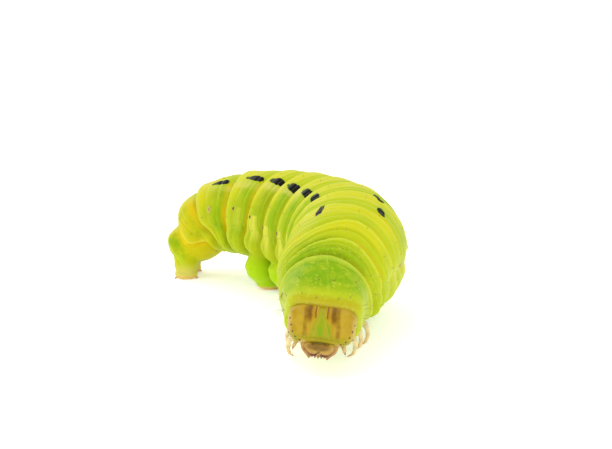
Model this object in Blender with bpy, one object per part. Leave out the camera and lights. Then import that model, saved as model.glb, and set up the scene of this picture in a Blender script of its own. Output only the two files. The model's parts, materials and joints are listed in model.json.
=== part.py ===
# Large yellow underwing larva, life size, in metres, +Z up.
# The head faces -Y, the feet stand on z = 0, and the body bends to the animal's right.
# Every segment, leg and mouthpart is a solid of its own, with a thin gap to what it grows from.

from math import cos, exp, pi, radians, sin

import bmesh
import bpy
from mathutils import Matrix, Vector

SEGMENT_GAP = 0.0002  # between two body segments
ROOT_GAP = 0.00015  # between a limb or mouthpart and what it grows from

# The front edge of the first segment, in plan
NECK_AT = Vector((0.0032, -0.0119))

# Name, length in plan, heading in degrees from +Y towards -X
SEGMENTS = (
    ("thorax_1", 0.0028, -3),
    ("thorax_2", 0.0018, -11),
    ("thorax_3", 0.0021, -16),
    ("abdomen_1", 0.0025, -14),
    ("abdomen_2", 0.0025, -4),
    ("abdomen_3", 0.0027, 11),
    ("abdomen_4", 0.0029, 24),
    ("abdomen_5", 0.0027, 35),
    ("abdomen_6", 0.0027, 46),
    ("abdomen_7", 0.0028, 58),
    ("abdomen_8", 0.0026, 68),
    ("abdomen_9", 0.0015, 79),
    ("abdomen_10", 0.0018, 89),
)
NAMES = [row[0] for row in SEGMENTS]

# Height of the axis, half width and half height at each joint, from the neck to the tail
JOINTS = (
    (0.00265, 0.00205, 0.00150),
    (0.00345, 0.00265, 0.00245),
    (0.00390, 0.00320, 0.00315),
    (0.00425, 0.00355, 0.00360),
    (0.00445, 0.00375, 0.00385),
    (0.00465, 0.00385, 0.00400),
    (0.00475, 0.00390, 0.00400),
    (0.00485, 0.00390, 0.00395),
    (0.00495, 0.00390, 0.00390),
    (0.00505, 0.00380, 0.00370),
    (0.00500, 0.00345, 0.00340),
    (0.00440, 0.00290, 0.00295),
    (0.00305, 0.00235, 0.00235),
    (0.00200, 0.00175, 0.00150),
)

BELLY = 0.86  # depth of the belly against the height of the back
BELLY_POWER = 0.92  # under 1 flattens the belly
GROOVE = 0.09  # depth of the fold between segments, as a share of the radius
GROOVE_LENGTH = 0.13  # its reach along a segment
CREASE = 0.022  # depth of the two folds within a segment
CREASES = (0.36, 0.68)
CREASE_LENGTH = 0.05
SIDE_LOBE = 0.03  # swelling below the spiracles
SIDE_LOBE_AT = 116
SIDE_FURROW = 0.03
SIDE_FURROW_AT = 94
HOOD_LEAN = 0.52  # reach of the first segment's front edge over the head, in half heights
CHIN_LEAN = 0.25  # the same for its lower edge, under the head
CHIN_TUCK = 0.12  # how far that lower edge is drawn in
HOOD_SQUARE = 3.2  # squareness of the front edge above, 0 is an ellipse
CHIN_SQUARE = 0.86  # and below
NECK_ROLL = 9  # degrees that the front edge is rolled to the animal's left
TAIL_STEP = (12.45, 0.28, 0.16)  # place, reach and depth of the step before the tail's plate
TAIL_BULGE = (12.97, 0.14, 0.08)  # place, reach and height of its rear end

AROUND = 24
RING_PLACES = (0.0, 0.07, 0.18, 0.30, 0.36, 0.44, 0.60, 0.68, 0.80, 0.93, 1.0)
TIP_PLACES = (0.0, 0.10, 0.25, 0.40, 0.55, 0.72, 0.88, 1.02, 1.12)
TIP_START = 0.50  # where the last segment begins to close
TIP_END = 1.17

HEAD_AT = Vector((0.00314, -0.01290, 0.00286))
HEAD_PITCH = radians(12)  # the face looks up this far
HEAD_ROLL = radians(7)  # the crown leans to the animal's left
HEAD_HALF_WIDTH = 0.00181
HEAD_TOP = 0.00100
HEAD_CHIN = 0.00114
HEAD_FACE = 0.00112
HEAD_BACK = 0.00135
HEAD_POWER = 2.3  # roundness from face to nape, 2 is an ellipse
HEAD_SQUARE = (4.2, 3.2)  # roundness seen from the front, above and below; over 2 is squarer
CLEFT = 0.00010  # depth of the groove between the two lobes
FRONS_DEPTH = 0.00006
FRONS_HALF_WIDTH = 0.00055
HEAD_AROUND = 36
HEAD_LEVELS = 22
EYE_RADIUS = 0.00010
EYE_SINK = 0.35  # share of the radius that is sunk in the head
# Side, forward and height of the six simple eyes of one side
EYES = (
    (0.98, 0.26, 0.10),
    (0.97, 0.36, -0.10),
    (0.95, 0.42, -0.30),
    (0.88, 0.44, -0.48),
    (0.76, 0.46, -0.62),
    (0.97, 0.16, -0.34),
)

# Mouthparts and feelers, in the head's frame: +X left, -Y forward, +Z crown
LABRUM = (
    (-0.00062, -0.00070, -0.00110),
    (-0.00034, -0.00088, -0.00124),
    (0.0, -0.00090, -0.00119),
    (0.00034, -0.00088, -0.00124),
    (0.00062, -0.00070, -0.00110),
)
LABRUM_RADII = (0.00018, 0.00027, 0.00025, 0.00027, 0.00018)
MANDIBLE = (
    (0.00082, -0.00030, -0.00100),
    (0.00074, -0.00048, -0.00128),
    (0.00050, -0.00058, -0.00154),
    (0.00027, -0.00064, -0.00166),
)
MANDIBLE_RADII = (0.00030, 0.00031, 0.00026, 0.00013)
MAXILLA = (
    (0.00072, 0.00044, -0.00095),
    (0.00066, 0.00020, -0.00130),
    (0.00056, -0.00002, -0.00156),
    (0.00048, -0.00018, -0.00174),
)
MAXILLA_RADII = (0.00030, 0.00028, 0.00021, 0.00007)
LABIUM = (
    (0.0, 0.00040, -0.00100),
    (0.0, 0.00018, -0.00136),
    (0.0, -0.00004, -0.00160),
    (0.0, -0.00020, -0.00176),
)
LABIUM_RADII = (0.00032, 0.00030, 0.00023, 0.00008)
ANTENNA = (
    (0.00118, -0.00022, -0.00080),
    (0.00130, -0.00044, -0.00106),
    (0.00138, -0.00060, -0.00128),
    (0.00142, -0.00070, -0.00146),
)
ANTENNA_RADII = (0.00025, 0.00022, 0.00016, 0.00006)

LEG_SIDES = 2  # bevel resolution, 8 sides
FLOOR_DIP = 0.00004  # how far a claw is sunk before it is cut flat

SKIN = ("skin", (0.50, 0.68, 0.03), 0.42)
HEAD = ("head", (0.52, 0.41, 0.06), 0.30)
MOUTH = ("mouthparts", (0.55, 0.30, 0.14), 0.35)
LEG = ("legs", (0.85, 0.62, 0.30), 0.35)
PROLEG = ("prolegs", (0.45, 0.70, 0.05), 0.42)

PAIRED_MOUTHPARTS = (
    ("mandible", MANDIBLE, MANDIBLE_RADII, MOUTH),
    ("maxilla", MAXILLA, MAXILLA_RADII, MOUTH),
    ("antenna", ANTENNA, ANTENNA_RADII, LEG),
)


def clear_scene():
    for obj in list(bpy.data.objects):
        bpy.data.objects.remove(obj, do_unlink=True)


def collection(name, shown=True):
    made = bpy.data.collections.new(name)
    bpy.context.scene.collection.children.link(made)
    made.hide_render = not shown
    return made


def material(finish):
    name, colour, roughness = finish
    found = bpy.data.materials.get(name)
    if found:
        return found
    made = bpy.data.materials.new(name)
    made.use_nodes = True
    shader = made.node_tree.nodes["Principled BSDF"]
    shader.inputs["Base Color"].default_value = (*colour, 1.0)
    shader.inputs["Roughness"].default_value = roughness
    shader.inputs["Metallic"].default_value = 0.0
    made.diffuse_color = (*colour, 1.0)
    return made


def add(name, bm, finish, where):
    mesh = bpy.data.meshes.new(name)
    bmesh.ops.recalc_face_normals(bm, faces=bm.faces)
    bm.to_mesh(mesh)
    bm.free()
    if finish:
        mesh.materials.append(material(finish))
    mesh.shade_smooth()
    obj = bpy.data.objects.new(name, mesh)
    where.objects.link(obj)
    return obj


def loft(rings):
    """Closed skin through rings of equal count, flat at both ends."""
    bm = bmesh.new()
    rows = [[bm.verts.new(point) for point in ring] for ring in rings]
    count = len(rows[0])
    for near, far in zip(rows, rows[1:]):
        for k in range(count):
            m = (k + 1) % count
            bm.faces.new((near[k], near[m], far[m], far[k]))
    bm.faces.new(rows[0])
    bm.faces.new(rows[-1])
    return bm


def smooth(rows, place):
    """Catmull-Rom value and slope of a list of vectors at a place counted in rows."""
    last = len(rows) - 1
    i = min(max(int(place), 0), last - 1)
    t = min(max(place - i, 0.0), 1.0)
    before = rows[i - 1] if i > 0 else 2 * rows[0] - rows[1]
    after = rows[i + 2] if i + 2 <= last else 2 * rows[last] - rows[last - 1]
    a, b = rows[i], rows[i + 1]
    leave, arrive = (b - before) / 2, (after - a) / 2
    value = (
        (2 * t**3 - 3 * t**2 + 1) * a
        + (t**3 - 2 * t**2 + t) * leave
        + (3 * t**2 - 2 * t**3) * b
        + (t**3 - t**2) * arrive
    )
    slope = (
        (6 * t**2 - 6 * t) * a
        + (3 * t**2 - 4 * t + 1) * leave
        + (6 * t - 6 * t**2) * b
        + (3 * t**2 - 2 * t) * arrive
    )
    return value + slope * (place - i - t), slope


def axis_points():
    """The joints' centres, walked from the neck to the tail."""
    plan = NECK_AT.copy()
    points = [Vector((plan.x, plan.y, JOINTS[0][0]))]
    for (_, length, heading), joint in zip(SEGMENTS, JOINTS[1:]):
        plan += length * Vector((-sin(radians(heading)), cos(radians(heading))))
        points.append(Vector((plan.x, plan.y, joint[0])))
    return points


AXIS = axis_points()
RADII = [Vector((wide, high, 0.0)) for _, wide, high in JOINTS]


def axis_frame(place):
    """Centre of a section, and its back, left and up directions."""
    centre, slope = smooth(AXIS, place)
    back = slope.normalized()
    left = back.cross(Vector((0, 0, 1))).normalized()
    roll = Matrix.Rotation(radians(NECK_ROLL) * max(0.0, 1 - place), 3, back)
    left = roll @ left
    return centre, back, left, left.cross(back)


def floor_frame(place):
    """The point on the floor under a section, and its level left and back directions."""
    centre, slope = smooth(AXIS, place)
    back = Vector((slope.x, slope.y, 0.0)).normalized()
    return Vector((centre.x, centre.y, 0.0)), back.cross(Vector((0, 0, 1))), back


def bump(offset, reach):
    return exp(-((offset / reach) ** 2))


def relief(place, angle):
    """Share by which the folds and lobes change the radius. Angle 0 is the mid-back."""
    segment = min(int(place), len(SEGMENTS) - 1)
    t = place - segment
    to_joint = min(t, 1 - t) if segment < len(SEGMENTS) - 1 else t
    joint = GROOVE * bump(to_joint, GROOVE_LENGTH)
    side = abs(angle)
    on_back = 1.0 - 0.5 * bump(side - 180, 60)
    folds = sum(CREASE * bump(t - at, CREASE_LENGTH) for at in CREASES) * on_back
    middle = sin(pi * min(max(t, 0.0), 1.0))
    lobe = SIDE_LOBE * bump(side - SIDE_LOBE_AT, 16) * middle
    furrow = SIDE_FURROW * bump(side - SIDE_FURROW_AT, 8) * middle
    above = max(0.0, min(1.0, (105 - side) / 35))
    at, reach, depth = TAIL_STEP
    tail = -depth * bump(place - at, reach)
    at, reach, height = TAIL_BULGE
    tail += height * bump(place - at, reach)
    return lobe - furrow - joint - folds + tail * above


def closing(place):
    """1 along the body, falling to 0 at the tail's tip."""
    t = place - (len(SEGMENTS) - 1)
    if t <= TIP_START:
        return 1.0
    return max(0.0, 1 - ((t - TIP_START) / (TIP_END - TIP_START)) ** 2) ** 0.5


def skin_point(place, angle, grow=0.0):
    """Point on the body's skin. Angle in degrees from the mid-back, positive to the left."""
    centre, back, left, up = axis_frame(place)
    radii, _ = smooth(RADII, place)
    turn = radians(angle)
    front = max(0.0, 1 - place)
    across, along = sin(turn), cos(turn)
    power = 2 + (HOOD_SQUARE * front**1.5 if along > 0 else CHIN_SQUARE * front)
    size = (abs(across) ** power + abs(along) ** power) ** (-1 / power)
    across, along = across * size, along * size
    if along < 0:
        along = -BELLY * (1 - CHIN_TUCK * front) * abs(along) ** BELLY_POWER
    share = (1 + relief(place, angle)) * closing(place)
    wide = radii.x * share + grow
    high = radii.y * share + grow
    point = centre + left * across * wide + up * along * high
    lean = (HOOD_LEAN * max(0.0, along) + CHIN_LEAN * max(0.0, -along)) * front**2 * radii.y
    return point - Vector((back.x, back.y, 0.0)) * lean


def section(place, grow=0.0):
    return [skin_point(place, 360 * k / AROUND - 180, grow) for k in range(AROUND)]


def segment(index, where):
    """One body segment, its ends drawn in by half the gap."""
    name, length, _ = SEGMENTS[index]
    inset = SEGMENT_GAP / 2 / length
    last = index == len(SEGMENTS) - 1
    places = TIP_PLACES if last else RING_PLACES
    first = inset if index else 0.0
    end = places[-1] if last else 1 - inset
    rings = [section(index + min(max(t, first), end)) for t in places]
    return add(name, loft(rings), SKIN, where)


def trunk_cutter(where):
    """The whole body, grown by the root gap, that limbs are cut by."""
    last = len(SEGMENTS) - 1
    places = [k / 4 for k in range(4 * last)] + [last + t for t in TIP_PLACES]
    rings = [section(place, ROOT_GAP) for place in places + [last + TIP_END]]
    cutter = add("trunk_cutter", loft(rings), None, where)
    cutter.hide_render = True
    cutter.display_type = "WIRE"
    return cutter


def head_matrix():
    turn = Matrix.Rotation(-HEAD_PITCH, 4, "X") @ Matrix.Rotation(HEAD_ROLL, 4, "Y")
    return Matrix.Translation(HEAD_AT) @ turn


def head_radius(direction):
    """Distance from the head's centre to the capsule, before the cleft and frons."""
    deep = HEAD_FACE if direction.y < 0 else HEAD_BACK
    tall = HEAD_TOP if direction.z > 0 else HEAD_CHIN
    square = HEAD_SQUARE[0] if direction.z > 0 else HEAD_SQUARE[1]
    across = abs(direction.x / HEAD_HALF_WIDTH) ** square
    upright = abs(direction.z / tall) ** square
    front = (across + upright) ** (HEAD_POWER / square)
    return (front + abs(direction.y / deep) ** HEAD_POWER) ** (-1 / HEAD_POWER)


def head_point(direction, grow=0.0):
    """Point on the capsule, in the head's own frame: -Y is the face, +X the left side."""
    point = direction * head_radius(direction)
    rise = point.z / HEAD_TOP
    facing = max(0.0, -direction.y)
    cleft = CLEFT * bump(point.x, 0.00022) * max(0.0, min(1.0, rise + 0.1))
    width = FRONS_HALF_WIDTH * (1.0 - 0.9 * rise) / 1.9
    inside = 1 / (1 + exp((abs(point.x) - width) / 0.00006))
    frons = FRONS_DEPTH * inside * facing
    return point + direction * (grow - cleft - frons)


def head_ball(name, grow, finish, where):
    bm = bmesh.new()
    bmesh.ops.create_uvsphere(bm, u_segments=HEAD_AROUND, v_segments=HEAD_LEVELS, radius=1)
    for vert in bm.verts:
        vert.co = head_point(vert.co.normalized(), grow)
    obj = add(name, bm, finish, where)
    obj.matrix_world = head_matrix()
    return obj


def ball(name, at, radius, where):
    bm = bmesh.new()
    bmesh.ops.create_uvsphere(bm, u_segments=8, v_segments=6, radius=radius)
    bmesh.ops.translate(bm, vec=at, verts=bm.verts)
    return add(name, bm, None, where)


def tube(name, points, radii, finish, where, sides=LEG_SIDES, per_span=4):
    """Tapered tube along a smooth path, as a closed mesh."""
    rows = [Vector((*point, radius)) for point, radius in zip(points, radii)]
    steps = per_span * (len(rows) - 1)
    path = [smooth(rows, k / per_span)[0] for k in range(steps + 1)]
    curve = bpy.data.curves.new(name + "_path", "CURVE")
    curve.dimensions = "3D"
    curve.bevel_depth = 1.0
    curve.bevel_resolution = sides
    curve.use_fill_caps = True
    spline = curve.splines.new("POLY")
    spline.points.add(len(path) - 1)
    for point, row in zip(spline.points, path):
        point.co = (row[0], row[1], row[2], 1.0)
        point.radius = row[3]
    guide = bpy.data.objects.new(name + "_path", curve)
    where.objects.link(guide)
    graph = bpy.context.evaluated_depsgraph_get()
    mesh = bpy.data.meshes.new_from_object(guide.evaluated_get(graph))
    bpy.data.objects.remove(guide, do_unlink=True)
    bm = bmesh.new()
    bm.from_mesh(mesh)
    bpy.data.meshes.remove(mesh)
    bmesh.ops.remove_doubles(bm, verts=bm.verts, dist=0.000001)
    return add(name, bm, finish, where)


def boolean(obj, operation, other=None, group=None):
    """Adds and applies one Boolean."""
    modifier = obj.modifiers.new(operation.lower(), "BOOLEAN")
    modifier.operation = operation
    modifier.solver = "EXACT"
    if group:
        modifier.operand_type = "COLLECTION"
        modifier.collection = group
    else:
        modifier.object = other
    graph = bpy.context.evaluated_depsgraph_get()
    mesh = bpy.data.meshes.new_from_object(obj.evaluated_get(graph))
    obj.modifiers.remove(modifier)
    obj.data = mesh


def keep_largest(obj):
    """Keeps the largest closed surface of a mesh and drops loose scraps."""
    bm = bmesh.new()
    bm.from_mesh(obj.data)
    left = set(bm.verts)
    shells = []
    while left:
        seed = left.pop()
        shell, edge = {seed}, [seed]
        while edge:
            vert = edge.pop()
            for link in vert.link_edges:
                other = link.other_vert(vert)
                if other in left:
                    left.discard(other)
                    shell.add(other)
                    edge.append(other)
        shells.append(shell)
    shells.sort(key=len)
    for shell in shells[:-1]:
        bmesh.ops.delete(bm, geom=list(shell), context="VERTS")
    bm.to_mesh(obj.data)
    bm.free()


def cut_flat(obj):
    """Cuts away what lies under the floor, which leaves a small flat sole."""
    bm = bmesh.new()
    bm.from_mesh(obj.data)
    everything = list(bm.verts) + list(bm.edges) + list(bm.faces)
    bmesh.ops.bisect_plane(
        bm, geom=everything, plane_co=(0, 0, 0), plane_no=(0, 0, 1), clear_inner=True
    )
    rim = [edge for edge in bm.edges if edge.is_boundary]
    bmesh.ops.holes_fill(bm, edges=rim)
    bmesh.ops.recalc_face_normals(bm, faces=bm.faces)
    bm.to_mesh(obj.data)
    bm.free()


def make_head(shown, hidden):
    head = head_ball("head", 0.0, HEAD, shown)
    eyes = collection("eye_union", shown=False)
    for side in (-1, 1):
        for k, (across, ahead, height) in enumerate(EYES):
            direction = Vector((side * across, -ahead, height)).normalized()
            at = head_matrix() @ head_point(direction, -EYE_SINK * EYE_RADIUS)
            ball(f"eye_{side}_{k}", at, EYE_RADIUS, eyes)
    boolean(head, "UNION", group=eyes)
    for obj in list(eyes.objects):
        bpy.data.objects.remove(obj, do_unlink=True)
    keep_largest(head)
    cutter = head_ball("head_cutter", ROOT_GAP, None, hidden)
    cutter.hide_render = True
    cutter.display_type = "WIRE"
    return head, cutter


def head_frame(points):
    return [head_matrix() @ Vector(point) for point in points]


def make_mouth(shown, cutter):
    """Labrum, mandibles, maxillae, labium and antennae, each cut clear of the capsule."""
    made = [
        tube("labrum", head_frame(LABRUM), LABRUM_RADII, MOUTH, shown, per_span=2),
        tube("labium", head_frame(LABIUM), LABIUM_RADII, MOUTH, shown, per_span=2),
    ]
    for side, word in ((1, "left"), (-1, "right")):
        for name, path, radii, finish in PAIRED_MOUTHPARTS:
            points = [(side * x, y, z) for x, y, z in path]
            made.append(tube(f"{name}_{word}", head_frame(points), radii, finish, shown, per_span=2))
    for obj in made:
        boolean(obj, "DIFFERENCE", other=cutter)
        keep_largest(obj)


# Segment, place along it, where the claw stands ahead of or behind the root
LEGS = ((0, 0.62, 0.00055), (1, 0.55, 0.00010), (2, 0.45, -0.00045))
# How much further out the claws of each pair stand, on the left and on the right
LEG_OUT = ((0.0, 0.00035), (0.0001, 0.00070), (0.0002, 0.00035))
# Sideways from the midline and height of a leg's joints, root to claw
LEG_PATH = (
    (0.00105, 0.00235),
    (0.00150, 0.00165),
    (0.00192, 0.00115),
    (0.00200, 0.00070),
    (0.00184, 0.00028),
    (0.00150, 0.00006),
)
LEG_RADII = (0.00052, 0.00044, 0.00032, 0.00027, 0.00021, 0.00008)
LEG_SPREAD = (0.90, 0.98, 1.04)  # of the three pairs


def make_legs(shown, cutter):
    for (index, along, reach), spread, further in zip(LEGS, LEG_SPREAD, LEG_OUT):
        ground, left, back = floor_frame(index + along)
        for side, word, more in ((1, "left", further[0]), (-1, "right", further[1])):
            points = []
            for k, (out, height) in enumerate(LEG_PATH):
                share = k / (len(LEG_PATH) - 1)
                aside = out * spread + more * share
                point = ground + left * side * aside + back * reach * share
                points.append(point + Vector((0, 0, height - FLOOR_DIP)))
            leg = tube(f"leg_{index + 1}_{word}", points, LEG_RADII, LEG, shown, per_span=3)
            boolean(leg, "DIFFERENCE", other=cutter)
            keep_largest(leg)
            cut_flat(leg)


# Height, sideways place, half width across the body and half width along it
PROLEG_RINGS = (
    (0.00300, 0.00195, 0.00115, 0.00092),
    (0.00225, 0.00222, 0.00125, 0.00100),
    (0.00155, 0.00222, 0.00122, 0.00102),
    (0.00095, 0.00202, 0.00108, 0.00096),
    (0.00048, 0.00176, 0.00092, 0.00086),
    (0.00018, 0.00160, 0.00078, 0.00078),
    (0.00000, 0.00155, 0.00066, 0.00070),
)
CLASPER_RINGS = (
    (0.00260, 0.00085, 0.00075, 0.00095),
    (0.00190, 0.00105, 0.00085, 0.00100),
    (0.00130, 0.00115, 0.00086, 0.00098),
    (0.00080, 0.00120, 0.00080, 0.00092),
    (0.00040, 0.00124, 0.00072, 0.00084),
    (0.00014, 0.00126, 0.00062, 0.00070),
    (0.00000, 0.00126, 0.00052, 0.00055),
)
PROLEG_SEGMENTS = (5, 6, 7, 8)
PROLEG_ALONG = (0.50, 0.50, 0.50, 0.62)
PROLEG_SWELL = (0.0, 0.0, 0.0, 0.00025)  # how much further out each pair swells
CLASPER_ALONG = 0.45
PROLEG_AROUND = 14


def fleshy_foot(name, place, side, rings, cutter, shown):
    """Proleg as a stack of level ovals, with a flat sole on the floor."""
    ground, left, back = floor_frame(place)
    loops = []
    for height, out, across, along in rings:
        middle = ground + left * side * out + Vector((0, 0, height))
        loops.append([
            middle + left * across * cos(2 * pi * k / PROLEG_AROUND)
            + back * along * sin(2 * pi * k / PROLEG_AROUND)
            for k in range(PROLEG_AROUND)
        ])
    foot = add(name, loft(loops), PROLEG, shown)
    boolean(foot, "DIFFERENCE", other=cutter)
    keep_largest(foot)


def make_prolegs(shown, cutter):
    for side, word in ((1, "left"), (-1, "right")):
        for index, along, swell in zip(PROLEG_SEGMENTS, PROLEG_ALONG, PROLEG_SWELL):
            rings = [(height, out + swell * min(1.0, height / 0.001), across, length)
                     for height, out, across, length in PROLEG_RINGS]
            name = f"proleg_{index - 2}_{word}"
            fleshy_foot(name, index + along, side, rings, cutter, shown)
        last = len(SEGMENTS) - 1
        fleshy_foot(f"anal_proleg_{word}", last + CLASPER_ALONG, side, CLASPER_RINGS, cutter, shown)


def main():
    clear_scene()
    shown = collection("large_yellow_underwing_larva")
    hidden = collection("cutters", shown=False)
    _, head_cutter = make_head(shown, hidden)
    make_mouth(shown, head_cutter)
    for index in range(len(SEGMENTS)):
        obj = segment(index, shown)
        if index == 0:
            boolean(obj, "DIFFERENCE", other=head_cutter)
            keep_largest(obj)
    body = trunk_cutter(hidden)
    make_legs(shown, body)
    make_prolegs(shown, body)


main()
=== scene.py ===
# Large yellow underwing larva: skin, head, legs and finish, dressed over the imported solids.
# Metres throughout. The head faces -Y, the feet stand on z = 0.

import json
from math import cos, pi, radians, sin

import bmesh
import bpy
import numpy as np
from mathutils import Matrix, Vector, noise
from mathutils.bvhtree import BVHTree

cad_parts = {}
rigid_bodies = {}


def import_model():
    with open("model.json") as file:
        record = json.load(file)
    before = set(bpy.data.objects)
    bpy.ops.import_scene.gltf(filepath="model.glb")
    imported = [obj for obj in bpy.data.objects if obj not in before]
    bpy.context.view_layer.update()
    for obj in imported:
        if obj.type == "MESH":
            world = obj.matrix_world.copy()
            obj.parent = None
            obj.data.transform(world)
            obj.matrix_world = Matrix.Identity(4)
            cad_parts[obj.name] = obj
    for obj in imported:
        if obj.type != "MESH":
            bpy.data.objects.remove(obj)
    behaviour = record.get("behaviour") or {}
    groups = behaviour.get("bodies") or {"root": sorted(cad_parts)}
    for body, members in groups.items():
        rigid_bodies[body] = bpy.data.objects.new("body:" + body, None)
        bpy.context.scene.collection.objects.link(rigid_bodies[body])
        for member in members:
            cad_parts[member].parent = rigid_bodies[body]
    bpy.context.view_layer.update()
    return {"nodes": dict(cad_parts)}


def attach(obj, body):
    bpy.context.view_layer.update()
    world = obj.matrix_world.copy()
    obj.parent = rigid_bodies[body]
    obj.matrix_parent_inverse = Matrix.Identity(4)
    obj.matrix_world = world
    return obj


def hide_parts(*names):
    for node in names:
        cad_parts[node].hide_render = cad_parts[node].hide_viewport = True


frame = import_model()
rootBody = "root"
mm = 0.001
print("frame loaded,", len(frame["nodes"]), "nodes")


# Camera, light and floor

shot = {
    "place": (2.3, -58.0, 15.73),  # mm
    "pitchDown": 9.47,  # degrees
    "lens": 51.96,  # mm on a 36 mm sensor
    "floorSize": 1.6,
    "floorShade": 0.96,
    "floorGlow": 0.30,
    "roomStrength": 1.0,
    "colourScale": (0.84, 0.785, 0.56),  # of every surface, because the studio is so bright
    # place and size in mm, watts
    "lamps": {
        "keyLamp": ((-80, -80, 150), 120, 0.06),
        "fillLamp": ((130, -90, 90), 120, 0.04),
        "backLamp": ((-90, 120, 110), 120, 0.05),
    },
}


def makeCamera():
    data = bpy.data.cameras.new("photoCamera")
    data.lens = shot["lens"]
    data.sensor_width = 36
    data.clip_start = 0.5 * mm
    data.clip_end = 10
    camera = bpy.data.objects.new("photoCamera", data)
    bpy.context.scene.collection.objects.link(camera)
    camera.location = Vector(shot["place"]) * mm
    camera.rotation_euler = (radians(90 - shot["pitchDown"]), 0, 0)
    bpy.context.scene.camera = camera


def makeLamps():
    for name, (place, size, watts) in shot["lamps"].items():
        data = bpy.data.lights.new(name, "AREA")
        data.shape = "DISK"
        data.size = size * mm
        data.energy = watts
        lamp = bpy.data.objects.new(name, data)
        bpy.context.scene.collection.objects.link(lamp)
        lamp.location = Vector(place) * mm
        aim = Vector((0, 0, 4)) * mm - lamp.location
        lamp.rotation_euler = aim.to_track_quat("-Z", "Y").to_euler()


def makeRoom():
    scene = bpy.context.scene
    scene.view_settings.view_transform = "Standard"
    scene.world = bpy.data.worlds.new("paleRoom")
    scene.world.use_nodes = True
    background = scene.world.node_tree.nodes["Background"]
    background.inputs["Color"].default_value = (1, 1, 1, 1)
    background.inputs["Strength"].default_value = shot["roomStrength"]
    bpy.ops.mesh.primitive_plane_add(size=shot["floorSize"], location=(0, 0, -0.02 * mm))
    floor = bpy.context.object
    floor.name = "paleFloor"
    finish = bpy.data.materials.new("paleFloor")
    finish.use_nodes = True
    shader = finish.node_tree.nodes["Principled BSDF"]
    shader.inputs["Base Color"].default_value = (*[shot["floorShade"]] * 3, 1)
    shader.inputs["Roughness"].default_value = 0.9
    shader.inputs["Specular IOR Level"].default_value = 0.1
    shader.inputs["Emission Color"].default_value = (1, 1, 1, 1)
    shader.inputs["Emission Strength"].default_value = shot["floorGlow"]
    floor.data.materials.append(finish)


makeCamera()
makeLamps()
makeRoom()
print("camera and studio ready")


# Number tools

def bump(offset, reach):
    return np.exp(-((offset / reach) ** 2))


def ease(low, high, value):  # 0 at low, 1 at high
    part = np.clip((value - low) / (high - low), 0, 1)
    return part * part * (3 - 2 * part)


def unit(rows):
    return rows / np.linalg.norm(rows, axis=-1, keepdims=True)


def ruffle(points, scale, seed=0.0):  # smooth noise from -1 to 1
    return np.array([noise.noise(p) for p in (points * scale + seed).tolist()])


def smoothPath(rows, where):
    # Catmull-Rom value and slope of the rows, at places counted in rows
    rows = np.asarray(rows, dtype=float)
    where = np.atleast_1d(where).astype(float)
    i = np.clip(np.floor(where).astype(int), 0, len(rows) - 2)
    t = np.clip(where - i, 0, 1)[:, None]
    over = (where - i)[:, None] - t
    padded = np.vstack([2 * rows[0] - rows[1], rows, 2 * rows[-1] - rows[-2]])
    before, a, b, after = padded[i], padded[i + 1], padded[i + 2], padded[i + 3]
    leave, arrive = (b - before) / 2, (after - a) / 2
    value = ((2 * t**3 - 3 * t**2 + 1) * a + (t**3 - 2 * t**2 + t) * leave
             + (3 * t**2 - 2 * t**3) * b + (t**3 - t**2) * arrive)
    slope = ((6 * t**2 - 6 * t) * a + (3 * t**2 - 4 * t + 1) * leave
             + (6 * t - 6 * t**2) * b + (3 * t**2 - 2 * t) * arrive)
    return value + slope * over, slope


# Mesh tools

def gridFaces(rows, columns, offset=0):
    faces = []
    for i in range(rows - 1):
        for k in range(columns):
            m = (k + 1) % columns
            a = offset + i * columns
            faces.append((a + k, a + m, a + columns + m, a + columns + k))
    return faces


def meshObject(name, points, faces, material=None):
    mesh = bpy.data.meshes.new(name)
    mesh.from_pydata(np.asarray(points).tolist(), [], faces)
    mesh.update()
    if material:
        mesh.materials.append(material)
    mesh.shade_smooth()
    obj = bpy.data.objects.new(name, mesh)
    bpy.context.scene.collection.objects.link(obj)
    return obj


def loftObject(name, rings, material=None):
    # Closed skin over rings of points, shaped (rings, points, 3)
    rings = np.asarray(rings)
    rows, columns = rings.shape[:2]
    faces = gridFaces(rows, columns)
    faces.append(tuple(range(columns)))
    faces.append(tuple(reversed(range((rows - 1) * columns, rows * columns))))
    obj = meshObject(name, rings.reshape(-1, 3), faces, material)
    bm = bmesh.new()
    bm.from_mesh(obj.data)
    bmesh.ops.recalc_face_normals(bm, faces=bm.faces)
    bm.to_mesh(obj.data)
    bm.free()
    return obj


def pointsOf(obj):
    flat = np.empty(len(obj.data.vertices) * 3)
    obj.data.vertices.foreach_get("co", flat)
    return flat.reshape(-1, 3)


def giveMask(obj, name, values):
    layer = obj.data.attributes.new(name, "FLOAT", "POINT")
    layer.data.foreach_set("value", np.broadcast_to(values, len(obj.data.vertices)).astype(float))


def settle(piece, slotName, *nodes):
    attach(piece, rootBody)
    if nodes:
        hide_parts(*nodes)


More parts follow.
